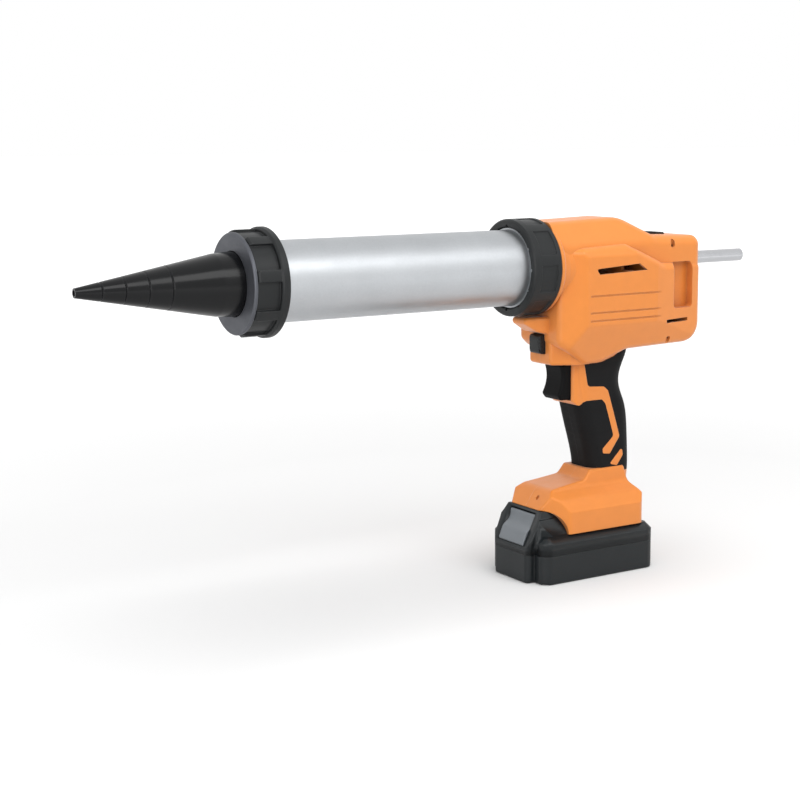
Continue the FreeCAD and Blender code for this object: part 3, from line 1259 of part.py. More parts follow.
PIECES = {
    "barrel_tube": barrel_tube,
    "tube_bead": tube_bead,
    "barrel_collar": barrel_collar,
    "front_nut": front_nut,
    "end_plate": end_plate,
    "nozzle": nozzle,
    "rack_rod": rack_rod,
    "piston": piston,
    "piston_seal": piston_seal,
    "piston_screw": piston_screw,
    "pinion_shaft": pinion_shaft,
    "rack_pinion": rack_pinion,
    "final_gear": final_gear,
    "lay_shaft": lay_shaft,
    "lay_pinion": lay_pinion,
    "crown_gear": crown_gear,
    "bevel_pinion": bevel_pinion,
    "planet_carrier": planet_carrier,
    "ring_gear": ring_gear,
    "sun_gear": sun_gear,
    "gear_case": gear_case,
    "gear_cover": gear_cover,
    "shaft_bushes": shaft_bushes,
    "motor_can": motor_can,
    "motor_magnets": motor_magnets,
    "rotor": rotor,
    "cooling_fan": cooling_fan,
    "housing_screws": housing_screws,
    "trigger": trigger,
    "switch_box": switch_box,
    "switch_plunger": switch_plunger,
    "trigger_spring": trigger_spring,
    "lock_button": lock_button,
    "lock_spring": lock_spring,
    "release_button": release_button,
    "release_spring": release_spring,
    "rod_brake": rod_brake,
    "terminal_block": terminal_block,
    "contact_blades": contact_blades,
    "control_board": control_board,
    "battery_case": battery_case,
    "battery_cover": battery_cover,
    "battery_latch": battery_latch,
    "latch_spring": latch_spring,
    "battery_cells": battery_cells,
    "cell_holder": cell_holder,
    "battery_board": battery_board,
    "battery_screws": battery_screws,
}


def main():
    os.makedirs("parts", exist_ok=True)
    for name, make in PIECES.items():
        make().exportStep(f"parts/{name}.step")
    for i in range(PLANETS):
        planet_gear(i).exportStep(f"parts/planet_gear_{i + 1}.step")
    front_bush = rod_bush(COLLAR_X - CASE_WALL, TUBE_REAR_X)
    front_bush.exportStep("parts/rod_bush_front.step")
    rod_bush(BODY_REAR_X, BODY_REAR_X + 8.0).exportStep("parts/rod_bush_rear.step")
    for name, shape in housing().items():
        shape.exportStep(f"parts/{name}.step")


main()
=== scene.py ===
"""Dresses the cordless caulking tool for its studio picture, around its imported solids.

The tool stands on its battery. Its barrel runs along +X, and Y = 0 is the plane where the
two housing halves meet.
"""

import json
import logging
import math
from dataclasses import dataclass
from enum import Enum

import bmesh
import bpy
from mathutils import Matrix, Vector
from mathutils.bvhtree import BVHTree
from mathutils.kdtree import KDTree


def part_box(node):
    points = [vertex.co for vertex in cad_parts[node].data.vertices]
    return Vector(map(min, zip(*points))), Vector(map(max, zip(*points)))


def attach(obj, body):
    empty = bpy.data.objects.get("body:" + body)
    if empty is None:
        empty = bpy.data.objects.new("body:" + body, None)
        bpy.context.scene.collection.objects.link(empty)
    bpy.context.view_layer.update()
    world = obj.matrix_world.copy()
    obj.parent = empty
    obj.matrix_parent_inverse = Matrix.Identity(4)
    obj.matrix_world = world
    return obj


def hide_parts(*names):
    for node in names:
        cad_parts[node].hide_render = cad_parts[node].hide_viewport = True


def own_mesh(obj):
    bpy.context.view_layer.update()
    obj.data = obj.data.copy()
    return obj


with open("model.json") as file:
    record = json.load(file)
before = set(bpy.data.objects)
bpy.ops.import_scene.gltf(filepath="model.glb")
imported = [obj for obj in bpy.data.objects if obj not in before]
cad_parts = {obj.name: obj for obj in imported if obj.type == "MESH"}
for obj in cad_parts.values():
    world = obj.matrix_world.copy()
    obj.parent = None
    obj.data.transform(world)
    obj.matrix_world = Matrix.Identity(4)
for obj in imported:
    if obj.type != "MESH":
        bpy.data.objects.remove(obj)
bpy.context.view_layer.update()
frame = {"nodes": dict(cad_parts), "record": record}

log = logging.getLogger("caulking_tool")

MM = 0.001
PALM_LOW_Z = 88.0 * MM
PALM_HIGH_Z = 136.0 * MM
RIPPLE_GAIN = 2.5
SHARP_ANGLE = math.radians(32.0)
BROAD_ANGLE = math.radians(20.0)
BROAD_AREA = 6.0 * MM * MM
BROAD_REACH = 7.0 * MM
RAIL_HALF = 19.0 * MM
ROLL_TRIES = 12
DECK_ROUND = 2.2 * MM
MERGE_GAP = 0.002 * MM
LEVEL_GAP = 0.01 * MM
UPWARD = 0.99
FLAT_ANGLE = math.radians(0.4)
THROWN_SHARE = 0.55
EDGE_SAMPLES = 6
SLOW_DRIFT = 0.06
SLOW_STREAK = 0.01
EDGE_HIGHLIGHT_PATCH = 160.0
SCUFF_SCALE = (30.0, 160.0, 700.0)
RIPPLE_LEAN = math.radians(24.0)
RIPPLE_FADE = 90.0
CREVICE_PATCH = 220.0
SENSOR_WIDTH = 36.0

Colour = tuple[float, float, float, float]
WHITE: Colour = (1.0, 1.0, 1.0, 1.0)


def shade(red: float, green: float, blue: float) -> Colour:
    """Turns display values into the linear colour that a shader takes.

    Args:
        red: Red, from 0 to 255.
        green: Green, from 0 to 255.
        blue: Blue, from 0 to 255.

    Returns:
        Linear red, green, blue and an alpha of 1.
    """
    linear = []
    for value in (red, green, blue):
        part = value / 255.0
        linear.append(part / 12.92 if part <= 0.04045 else ((part + 0.055) / 1.055) ** 2.4)
    return (*linear, 1.0)


class Bench:
    """A node tree that is being wired."""

    def __init__(self, tree: bpy.types.NodeTree) -> None:
        """Keeps the tree that the nodes go into.

        Args:
            tree: A material's, a world's or a group's node tree.
        """
        self.tree = tree

    def add(self, kind: str, inputs: dict | None = None, **settings: object) -> bpy.types.Node:
        """Adds one node.

        Args:
            kind: Blender's name for the node.
            inputs: Values or sockets for its inputs, by name or number.
            settings: Properties of the node.

        Returns:
            The new node.
        """
        node = self.tree.nodes.new(kind)
        for name, value in settings.items():
            setattr(node, name, value)
        for name, value in (inputs or {}).items():
            if isinstance(value, bpy.types.NodeSocket):
                self.tree.links.new(value, node.inputs[name])
            else:
                node.inputs[name].default_value = value
        return node

    def sum(self, operation: str, first: object, second: object = 0.0) -> bpy.types.NodeSocket:
        """Puts two values through a Math node.

        Args:
            operation: The node's operation.
            first: A number or a socket.
            second: A number or a socket.

        Returns:
            The result's socket.
        """
        return self.add("ShaderNodeMath", {0: first, 1: second}, operation=operation).outputs[0]

    def span(self, value: object, low: float, high: float, start: float = 0.0,
             end: float = 1.0) -> bpy.types.NodeSocket:
        """Maps a value that runs from low to high onto start to end, and holds it there.

        Args:
            value: The socket to map.
            low: Its lowest value.
            high: Its highest value.
            start: The result at low.
            end: The result at high.

        Returns:
            The result's socket.
        """
        node = self.add("ShaderNodeMapRange", {"Value": value, "From Min": low, "From Max": high,
                                               "To Min": start, "To Max": end})
        return node.outputs["Result"]

    def blend(self, share: object, first: object, second: object) -> bpy.types.NodeSocket:
        """Mixes two colours.

        Args:
            share: How much of the second colour shows.
            first: A colour or a socket.
            second: A colour or a socket.

        Returns:
            The mixed colour's socket.
        """
        node = self.add("ShaderNodeMix", data_type="RGBA")
        for socket, value in zip((node.inputs[0], node.inputs[6], node.inputs[7]),
                                 (share, first, second)):
            if isinstance(value, bpy.types.NodeSocket):
                self.tree.links.new(value, socket)
            else:
                socket.default_value = value
        return node.outputs[2]


class Effect(Enum):
    """The surface effects that several finishes share."""

    GRAIN = "moulded_grain"
    # A painted highlight along the outer edges.
    EDGE_HIGHLIGHT = "edge_rub"
    FILM = "handling_film"
    LINES = "tool_lines"
    RIPPLE = "grip_ripple"
    # Painted shade in the recesses and inner corners.
    CREVICE = "crevice_shade"


class EffectShelf:
    """Makes each shared effect once, as a node group."""

    def __init__(self) -> None:
        """Starts with no groups."""
        self.groups: dict[Effect, bpy.types.NodeTree] = {}

    def get(self, effect: Effect) -> bpy.types.NodeTree:
        """Hands out an effect's group, made at its first use.

        Args:
            effect: Which effect.

        Returns:
            The group's node tree.
        """
        if effect not in self.groups:
            maker = {Effect.GRAIN: self.grain, Effect.EDGE_HIGHLIGHT: self.edge_highlight,
                     Effect.FILM: self.film, Effect.LINES: self.lines,
                     Effect.RIPPLE: self.ripple, Effect.CREVICE: self.crevice}[effect]
            self.groups[effect] = maker()
        return self.groups[effect]

    @staticmethod
    def blank(effect: Effect, numbers: tuple[str, ...],
              results: tuple[str, ...]) -> tuple[Bench, bpy.types.Node, bpy.types.Node]:
        """Opens an empty group with its sockets.

        Args:
            effect: Which effect the group is for.
            numbers: Names of its number inputs. A Vector input comes first.
            results: Names of its number outputs.

        Returns:
            The bench, the group's input node and its output node.
        """
        tree = bpy.data.node_groups.new(effect.value, "ShaderNodeTree")
        tree.interface.new_socket("Vector", in_out="INPUT", socket_type="NodeSocketVector")
        for name in numbers:
            tree.interface.new_socket(name, in_out="INPUT", socket_type="NodeSocketFloat")
        for name in results:
            tree.interface.new_socket(name, in_out="OUTPUT", socket_type="NodeSocketFloat")
        bench = Bench(tree)
        return bench, bench.add("NodeGroupInput"), bench.add("NodeGroupOutput")

    def grain(self) -> bpy.types.NodeTree:
        """Fine pebbled relief of a mould or a blasted skin, with a slow drift of tone.

        Returns:
            The group's node tree.
        """
        bench, given, made = self.blank(Effect.GRAIN, ("Scale",), ("Height", "Tone"))
        pebble = bench.add("ShaderNodeTexVoronoi", {
            "Vector": given.outputs["Vector"], "Scale": given.outputs["Scale"]})
        cloud = bench.add("ShaderNodeTexNoise", {
            "Vector": given.outputs["Vector"], "Scale": given.outputs["Scale"],
            "Detail": 3.0, "Roughness": 0.6})
        slow_scale = bench.sum("MULTIPLY", given.outputs["Scale"], SLOW_DRIFT)
        drift = bench.add("ShaderNodeTexNoise", {
            "Vector": given.outputs["Vector"], "Scale": slow_scale, "Detail": 4.0})
        relief = bench.sum("ADD", bench.sum("MULTIPLY", pebble.outputs["Distance"], 0.5),
                           bench.sum("MULTIPLY", cloud.outputs["Fac"], 0.7))
        tone = bench.sum("ADD", bench.sum("MULTIPLY", drift.outputs["Fac"], 0.55),
                         bench.sum("MULTIPLY", cloud.outputs["Fac"], 0.45))
        bench.tree.links.new(relief, made.inputs["Height"])
        bench.tree.links.new(bench.span(tone, 0.3, 0.7), made.inputs["Tone"])
        return bench.tree

    def edge_highlight(self) -> bpy.types.NodeTree:
        """Mask of the outer edges for a painted highlight, broken up in patches.

        Returns:
            The group's node tree.
        """
        bench, given, made = self.blank(Effect.EDGE_HIGHLIGHT, ("Radius",), ("Mask",))
        soft = bench.add("ShaderNodeBevel", {"Radius": given.outputs["Radius"]},
                         samples=EDGE_SAMPLES)
        true = bench.add("ShaderNodeNewGeometry")
        lean = bench.add("ShaderNodeVectorMath", {0: soft.outputs["Normal"],
                                                  1: true.outputs["Normal"]},
                         operation="DOT_PRODUCT")
        edge = bench.span(lean.outputs["Value"], 0.995, 0.86)
        patch = bench.add("ShaderNodeTexNoise", {
            "Vector": given.outputs["Vector"], "Scale": EDGE_HIGHLIGHT_PATCH, "Detail": 5.0})
        mask = bench.sum("MULTIPLY", edge, bench.span(patch.outputs["Fac"], 0.38, 0.66, 0.25))
        bench.tree.links.new(mask, made.inputs["Mask"])
        return bench.tree

    def film(self) -> bpy.types.NodeTree:
        """Slow patches of polish and dust that handling leaves, with faint fine scuffs.

        Returns:
            The group's node tree.
        """
        bench, given, made = self.blank(Effect.FILM, ("Scale",), ("Film",))
        patch = bench.add("ShaderNodeTexNoise", {
            "Vector": given.outputs["Vector"], "Scale": given.outputs["Scale"],
            "Detail": 5.0, "Roughness": 0.55, "Distortion": 0.4})
        drawn = bench.add("ShaderNodeMapping", {"Vector": given.outputs["Vector"],
                                                "Scale": SCUFF_SCALE})
        scuff = bench.add("ShaderNodeTexNoise", {"Vector": drawn.outputs["Vector"],
                                                 "Scale": 1.0, "Detail": 3.0})
        both = bench.sum("ADD", bench.sum("MULTIPLY", patch.outputs["Fac"], 0.75),
                         bench.sum("MULTIPLY", scuff.outputs["Fac"], 0.25))
        bench.tree.links.new(bench.span(both, 0.34, 0.66), made.inputs["Film"])
        return bench.tree

    def lines(self) -> bpy.types.NodeTree:
        """Lines that a lathe leaves round X, or that drawing leaves along X.

        Along is 0 for turned rings and 1 for drawn streaks.

        Returns:
            The group's node tree.
        """
        bench, given, made = self.blank(Effect.LINES, ("Scale", "Along"), ("Height",))
        parts = bench.add("ShaderNodeSeparateXYZ", {0: given.outputs["Vector"]})
        slow = bench.sum("MULTIPLY", given.outputs["Scale"], SLOW_STREAK)
        across = bench.sum("SUBTRACT", 1.0, given.outputs["Along"])
        turn = bench.sum("ADD", bench.sum("MULTIPLY", across, given.outputs["Scale"]),
                         bench.sum("MULTIPLY", given.outputs["Along"], slow))
        wide = bench.sum("ADD", bench.sum("MULTIPLY", across, slow),
                         bench.sum("MULTIPLY", given.outputs["Along"], given.outputs["Scale"]))
        place = bench.add("ShaderNodeCombineXYZ", {
            0: bench.sum("MULTIPLY", parts.outputs[0], turn),
            1: bench.sum("MULTIPLY", parts.outputs[1], wide),
            2: bench.sum("MULTIPLY", parts.outputs[2], wide)})
        streak = bench.add("ShaderNodeTexNoise", {"Vector": place.outputs[0], "Scale": 1.0,
                                                  "Detail": 4.0, "Roughness": 0.65})
        bench.tree.links.new(streak.outputs["Fac"], made.inputs["Height"])
        return bench.tree

    def ripple(self) -> bpy.types.NodeTree:
        """Wavy lines moulded across the palm of the handle, fading out above and below it.

        Returns:
            The group's node tree.
        """
        bench, given, made = self.blank(Effect.RIPPLE, ("Scale", "Low", "High"), ("Height",))
        leaned = bench.add("ShaderNodeMapping", {"Vector": given.outputs["Vector"],
                                                 "Rotation": (0.0, RIPPLE_LEAN, 0.0)})
        wave = bench.add("ShaderNodeTexWave", {
            "Vector": leaned.outputs["Vector"], "Scale": given.outputs["Scale"],
            "Distortion": 5.0, "Detail": 1.0, "Detail Scale": 0.6}, bands_direction="Z")
        level = bench.add("ShaderNodeSeparateXYZ", {0: given.outputs["Vector"]}).outputs[2]
        above = bench.sum("MULTIPLY", bench.sum("SUBTRACT", level, given.outputs["Low"]),
                          RIPPLE_FADE)
        below = bench.sum("MULTIPLY", bench.sum("SUBTRACT", given.outputs["High"], level),
                          RIPPLE_FADE)
        share = bench.span(bench.sum("MINIMUM", above, below), 0.0, 1.0)
        bench.tree.links.new(bench.sum("MULTIPLY", share, wave.outputs["Fac"]),
                             made.inputs["Height"])
        return bench.tree

    def crevice(self) -> bpy.types.NodeTree:
        """Mask of the recesses, slots and inner corners for painted shade, from occlusion,
        broken up in patches.

        Returns:
            The group's node tree.
        """
        bench, given, made = self.blank(Effect.CREVICE, ("Reach",), ("Mask",))
        room = bench.add("ShaderNodeAmbientOcclusion", {"Distance": given.outputs["Reach"]},
                         samples=EDGE_SAMPLES)
        patch = bench.add("ShaderNodeTexNoise", {
            "Vector": given.outputs["Vector"], "Scale": CREVICE_PATCH, "Detail": 3.0})
        painted_shade = bench.span(room.outputs["AO"], 0.9, 0.3)
        mask = bench.sum("MULTIPLY", painted_shade, bench.span(patch.outputs["Fac"], 0.35, 0.65, 0.8))
        bench.tree.links.new(mask, made.inputs["Mask"])
        return bench.tree


SHELF = EffectShelf()


@dataclass(frozen=True)
class Finish:
    """A surface: its colour and gloss, the small detail that breaks them up, a painted highlight
    on its outer edges and painted shade in its recesses.

    Grain, film and lines are counted per metre, depths and radii are in metres.
    """

    slot: str
    colour: Colour
    roughness: float
    metallic: float = 0.0
    specular: float = 0.5
    grain: float = 2600.0
    depth: float = 0.00003
    bump: float = 0.25
    mottle: float = 0.06
    film: float = 0.07
    film_scale: float = 26.0
    # Painted highlight on the outer edges: its strength, its width and its colour.
    edge_highlight: float = 0.25
    edge_highlight_radius: float = 0.0009
    edge_highlight_colour: Colour = (0.6, 0.6, 0.6, 1.0)
    coat: float = 0.0
    sheen: float = 0.0
    lines: float = 0.0
    lines_along: float = 0.0
    ripple: float = 0.0
    soft_edge: float = 0.0004
    # Painted shade in the recesses: its strength, the reach of the occlusion and how dark it
    # goes.
    crevice: float = 0.5
    crevice_shade_reach: float = 0.006
    crevice_shade_tone: float = 0.35
    look: str = ""

    def tone(self, gain: float) -> Colour:
        """Makes the finish's colour lighter or darker.

        Args:
            gain: Factor on the linear colour.

        Returns:
            The new colour.
        """
        return (*(min(1.0, part * gain) for part in self.colour[:3]), 1.0)

    def material(self) -> bpy.types.Material:
        """Builds the finish's material, once.

        Returns:
            The material, named after the finish's look, or else its slot.
        """
        name = "finish_" + (self.look or self.slot)
        known = bpy.data.materials.get(name)
        if known:
            return known
        made = bpy.data.materials.new(name)
        made.use_nodes = True
        made.node_tree.nodes.clear()
        bench = Bench(made.node_tree)
        place = bench.add("ShaderNodeTexCoord").outputs["Object"]
        grain = self.effect(bench, Effect.GRAIN, place, Scale=self.grain)
        film = self.effect(bench, Effect.FILM, place, Scale=self.film_scale)
        edge_highlight = self.effect(bench, Effect.EDGE_HIGHLIGHT, place, Radius=self.edge_highlight_radius)
        colour = bench.blend(grain.outputs["Tone"], self.tone(1.0 - self.mottle),
                             self.tone(1.0 + self.mottle))
        # Paints a highlight along the outer edges.
        painted_edge_light = bench.sum("MULTIPLY", edge_highlight.outputs["Mask"], self.edge_highlight)
        colour = bench.blend(painted_edge_light, colour, self.edge_highlight_colour)
        # Paints shade into the recesses, slots and inner corners.
        painted_shade = self.effect(bench, Effect.CREVICE, place, Reach=self.crevice_shade_reach)
        shaded = bench.sum("MULTIPLY", painted_shade.outputs["Mask"], self.crevice)
        colour = bench.blend(shaded, colour, self.tone(self.crevice_shade_tone))
        gloss = bench.span(film.outputs["Film"], 0.0, 1.0, self.roughness - self.film,
                           self.roughness + self.film)
        height = grain.outputs["Height"]
        if self.lines:
            drawn = self.effect(bench, Effect.LINES, place, Scale=self.lines,
                                Along=self.lines_along)
            height = bench.sum("ADD", bench.sum("MULTIPLY", height, 0.4),
                               drawn.outputs["Height"])
        if self.ripple:
            waves = self.effect(bench, Effect.RIPPLE, place, Scale=self.ripple, Low=PALM_LOW_Z,
                                High=PALM_HIGH_Z)
            height = bench.sum("ADD", height, bench.sum("MULTIPLY", waves.outputs["Height"],
                                                        RIPPLE_GAIN))
        corner = bench.add("ShaderNodeBevel", {"Radius": self.soft_edge},
                           samples=EDGE_SAMPLES)
        relief = bench.add("ShaderNodeBump", {"Height": height, "Strength": self.bump,
                                              "Distance": self.depth,
                                              "Normal": corner.outputs["Normal"]})
        shader = bench.add("ShaderNodeBsdfPrincipled", {
            "Base Color": colour, "Roughness": gloss, "Normal": relief.outputs["Normal"],
            "Metallic": self.metallic, "Specular IOR Level": self.specular,
            "Coat Weight": self.coat, "Sheen Weight": self.sheen})
        bench.add("ShaderNodeOutputMaterial", {"Surface": shader.outputs["BSDF"]})
        return made

    @staticmethod
    def effect(bench: Bench, effect: Effect, place: bpy.types.NodeSocket,
               **values: float) -> bpy.types.Node:
        """Places a shared effect in a material.

        Args:
            bench: The material's bench.
            effect: Which effect.
            place: The coordinates it reads.
            values: Its number inputs, by name.

        Returns:
            The group's node.
        """
        node = bench.add("ShaderNodeGroup", node_tree=SHELF.get(effect))
        bench.tree.links.new(place, node.inputs["Vector"])
        for name, value in values.items():
            node.inputs[name].default_value = value
        return node


# The orange's pale edge colour is a painted highlight, and its crevice setting paints shade into
# the recesses and the hollow behind the collar.
ORANGE = Finish("orange_shell", shade(233, 138, 52), 0.4, specular=0.5, sheen=0.25, grain=1900.0,
                mottle=0.035, film=0.06, edge_highlight=0.3, edge_highlight_colour=shade(252, 190, 132),
                soft_edge=0.0008, crevice=0.65, crevice_shade_reach=0.016)
BLACK = Finish("black_plastic", shade(29, 31, 32), 0.46, specular=0.28, grain=1700.0,
               mottle=0.1, edge_highlight=0.3, edge_highlight_colour=shade(112, 112, 114))
PACK = Finish("black_plastic", shade(27, 31, 33), 0.38, specular=0.32, grain=1700.0,
              mottle=0.09, edge_highlight=0.35, edge_highlight_colour=shade(112, 116, 118), soft_edge=0.0009,
              look="battery_black")
# A darker, duller copy of the black plastic for the trigger: painted shade, where the housing
# shades it.
SHADED_TRIGGER = Finish("black_plastic", shade(10, 10, 11), 0.5, specular=0.09, grain=1700.0,
                 mottle=0.1, edge_highlight=0.2, edge_highlight_colour=shade(90, 90, 92), look="shaded_trigger_black")
RUBBER = Finish("black_rubber", shade(19, 19, 20), 0.64, specular=0.14, grain=1300.0,
                depth=0.00005, bump=0.35, mottle=0.12, edge_highlight=0.2, edge_highlight_colour=shade(78, 76, 80),
                ripple=95.0)
NOZZLE = Finish("nozzle_black", shade(9, 10, 12), 0.21, specular=0.27, grain=2200.0,
                mottle=0.08, edge_highlight=0.22, edge_highlight_colour=shade(96, 97, 102))
LATCH = Finish("latch_grey", shade(120, 125, 130), 0.48, grain=1700.0, mottle=0.05,
               edge_highlight=0.3, edge_highlight_colour=shade(176, 179, 184))
TUBE = Finish("tube_metal", shade(184, 187, 190), 0.42, metallic=1.0, grain=620.0,
              depth=0.00006, bump=0.32, mottle=0.055, film=0.06, film_scale=60.0, edge_highlight=0.2,
              edge_highlight_colour=shade(240, 241, 243))
STEEL = Finish("bright_steel", shade(190, 191, 194), 0.2, metallic=1.0, grain=3000.0,
               mottle=0.03, film=0.05, film_scale=70.0, edge_highlight=0.3, bump=0.16,
               edge_highlight_colour=shade(240, 240, 242), lines=5200.0, lines_along=1.0)
PLATE = Finish("plate_grey", shade(86, 88, 94), 0.5, metallic=0.7, grain=900.0,
               depth=0.00006, bump=0.3, mottle=0.07, film_scale=60.0, edge_highlight=0.35,
               edge_highlight_colour=shade(205, 206, 210))
GEAR = Finish("gear_steel", shade(150, 150, 152), 0.34, metallic=1.0, mottle=0.08, edge_highlight=0.4,
              edge_highlight_colour=shade(215, 215, 218), film_scale=90.0)
CAST = Finish("cast_alloy", shade(150, 153, 156), 0.52, metallic=0.9, grain=1200.0,
              depth=0.00008, bump=0.45, mottle=0.1, edge_highlight=0.4, edge_highlight_colour=shade(210, 212, 214))
BRONZE = Finish("bronze", shade(176, 130, 78), 0.38, metallic=1.0, mottle=0.1, edge_highlight=0.4,
                edge_highlight_colour=shade(226, 184, 128), lines=3000.0)
MOTOR = Finish("motor_steel", shade(168, 170, 172), 0.36, metallic=1.0, mottle=0.06, edge_highlight=0.4,
               edge_highlight_colour=shade(220, 220, 222), lines=2400.0)
MAGNET = Finish("magnet", shade(58, 58, 62), 0.58, metallic=0.35, grain=2100.0, mottle=0.14,
                edge_highlight=0.4, edge_highlight_colour=shade(120, 120, 124))
INNER = Finish("inner_plastic", shade(58, 60, 64), 0.55, grain=1700.0, mottle=0.08, edge_highlight=0.25,
               edge_highlight_colour=shade(120, 122, 126))
SEAL = Finish("seal_rubber", shade(30, 30, 31), 0.55, grain=1500.0, mottle=0.12, edge_highlight=0.15,
              edge_highlight_colour=shade(70, 70, 72))
BOARD = Finish("board_green", shade(34, 92, 58), 0.4, grain=900.0, mottle=0.16, edge_highlight=0.4,
               edge_highlight_colour=shade(150, 160, 112), coat=0.3)
WRAP = Finish("cell_wrap", shade(44, 110, 170), 0.32, grain=800.0, mottle=0.05, edge_highlight=0.3,
              edge_highlight_colour=shade(130, 170, 205), coat=0.2)
SCREW = Finish("screw_black", shade(52, 52, 54), 0.4, metallic=0.8, mottle=0.08, edge_highlight=0.5,
               edge_highlight_colour=shade(140, 140, 144))

BODY_OF = {node: body for body, nodes in frame["record"]["behaviour"]["bodies"].items()
           for node in nodes}


class EdgeForm(Enum):
    """How far a piece's outer corners are rounded, in metres."""

    AS_CUT = 0.0
    CRISP = 0.2 * MM
    MOULDED = 0.45 * MM


@dataclass(frozen=True)
class Piece:
    """One piece of the tool: its solid, its finish and its corners."""

    node: str
    finish: Finish
    edge: EdgeForm = EdgeForm.AS_CUT
    broad: float = 0.0

    def dress(self) -> bpy.types.Object:
        """Gives the solid its finish, on a copy with rounded corners where it has them.

        Returns:
            The object that shows.
        """
        shown = frame["nodes"][self.node]
        if self.edge is not EdgeForm.AS_CUT:
            shown = self.rounded(shown)
            self.stand_in(shown)
        self.paint(shown)
        return shown

    def stand_in(self, copy: bpy.types.Object) -> None:
        """Puts a copy in the solid's place, on the same body.

        Args:
            copy: The object that takes the solid's place.
        """
        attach(copy, BODY_OF[self.node])
        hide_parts(self.node)

    def paint(self, shown: bpy.types.Object) -> None:
        """Leaves the finish as the object's one material.

        Args:
            shown: The object that shows.
        """
        shown.data.materials.clear()
        shown.data.materials.append(self.finish.material())

    def broaden(self, flat: bmesh.types.BMesh) -> None:
        """Rounds the long outer edges of the skin more widely than the rest.

        Args:
            flat: The merged form, changed in place.
        """
        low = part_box(self.node)[0]
        rear = low[0] + BROAD_REACH

        def outer(edge: bmesh.types.BMEdge) -> bool:
            """Tells whether an edge runs along the outside, clear of the rail and the latch.

            Args:
                edge: An edge of the form.

            Returns:
                True where the edge is to be rounded widely.
            """
            if not edge.is_convex or edge.calc_face_angle(0.0) < BROAD_ANGLE:
                return False
            middle = (edge.verts[0].co + edge.verts[1].co) / 2
            aside = abs(middle.y) > RAIL_HALF or middle.x < rear
            big = min(face.calc_area() for face in edge.link_faces) > BROAD_AREA
            level = abs(edge.verts[0].co.z - edge.verts[1].co.z) < LEVEL_GAP
            lying = level and max(face.normal.z for face in edge.link_faces) > UPWARD
            seam = level and middle.z < low[2] + BROAD_REACH
            return aside and big and not lying and not seam

        bmesh.ops.bevel(flat, geom=[edge for edge in flat.edges if outer(edge)],
                        offset=self.broad, offset_type="OFFSET", segments=4, profile=0.5,
                        affect="EDGES", clamp_overlap=True, material=-1, loop_slide=True)

    def rolled(self, flat: bmesh.types.BMesh) -> bmesh.types.BMesh:
        """Bevels the sharp edges, and leaves out those that would throw a corner off the form.

        Args:
            flat: The merged form. It is freed.

        Returns:
            The bevelled form.
        """
        width = self.edge.value
        form = BVHTree.FromBMesh(flat)
        flat.verts.index_update()
        spoiled: set[int] = set()
        for _ in range(ROLL_TRIES):
            trial = flat.copy()
            sharp = [edge for edge in trial.edges if edge.is_manifold
                     and edge.calc_face_angle(0.0) > SHARP_ANGLE
                     and not spoiled.intersection(vert.index for vert in edge.verts)]
            bmesh.ops.bevel(trial, geom=sharp, offset=width, offset_type="OFFSET", segments=2,
                            profile=0.5, affect="EDGES", clamp_overlap=False, material=-1,
                            loop_slide=True)
            thrown = [vert for vert in trial.verts
                      if form.find_nearest(vert.co)[3] > THROWN_SHARE * width]
            if not thrown:
                break
            near = KDTree(len(flat.verts))
            for vert in flat.verts:
                near.insert(vert.co, vert.index)
            near.balance()
            for vert in thrown:
                for place in [vert.co, *(edge.other_vert(vert).co for edge in vert.link_edges)]:
                    spoiled.add(near.find(place)[1])
            trial.free()
        else:
            log.info("%s keeps its corners as cut", self.node)
            return flat
        flat.free()
        return trial

    def rounded(self, solid: bpy.types.Object) -> bpy.types.Object:
        """Copies the solid's mesh and rounds its sharp corners.

        Args:
            solid: The CAD node's object.

        Returns:
            The new object.
        """
        bm = bmesh.new()
        bm.from_mesh(solid.data)
        bmesh.ops.remove_doubles(bm, verts=bm.verts, dist=MERGE_GAP)
        bmesh.ops.dissolve_limit(bm, angle_limit=FLAT_ANGLE, verts=bm.verts,
                                 edges=bm.edges, use_dissolve_boundaries=False)
        if self.broad:
            self.broaden(bm)
        bm = self.rolled(bm)
        for face in bm.faces:
            face.smooth = True
        mesh = bpy.data.meshes.new(self.node + "_moulded")
        bm.to_mesh(mesh)
        bm.free()
        piece = bpy.data.objects.new(self.node + "_moulded", mesh)
        bpy.context.scene.collection.objects.link(piece)
        normals = piece.modifiers.new("face_weight", "WEIGHTED_NORMAL")
        normals.keep_sharp = True
        return piece


@dataclass(frozen=True)
class Spring(Piece):
    """A coil spring with a button on its free end, dressed as a copy of its coil."""

    joint: str = ""

    def dress(self) -> bpy.types.Object:
        """Dresses a copy of the coil in the solid's place.

        Returns:
            The object that shows.
        """
        coil = bpy.data.objects.new(self.node + "_coil", frame["nodes"][self.node].data.copy())
        bpy.context.scene.collection.objects.link(coil)
        self.stand_in(coil)
        self.paint(coil)
        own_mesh(coil)
        return coil


@dataclass
class SubAssembly:
    """A group of pieces that are made and fitted together."""

    name: str
    pieces: tuple[Piece, ...]

    def build(self) -> None:
        """Dresses each piece and reports it."""
        for piece in self.pieces:
            shown = piece.dress()
            log.info("%s: %s in %s", self.name, shown.name, piece.finish.slot)


@dataclass
class Barrel(SubAssembly):
    """Foil-pack tube with its collar, front nut, end plate and nozzle."""

    name: str = "barrel"
    pieces: tuple[Piece, ...] = (
        Piece("barrel_tube", TUBE), Piece("tube_bead", TUBE),
        Piece("barrel_collar", BLACK, EdgeForm.MOULDED),
        Piece("front_nut", BLACK, EdgeForm.MOULDED),
        Piece("end_plate", PLATE, EdgeForm.CRISP), Piece("nozzle", NOZZLE))


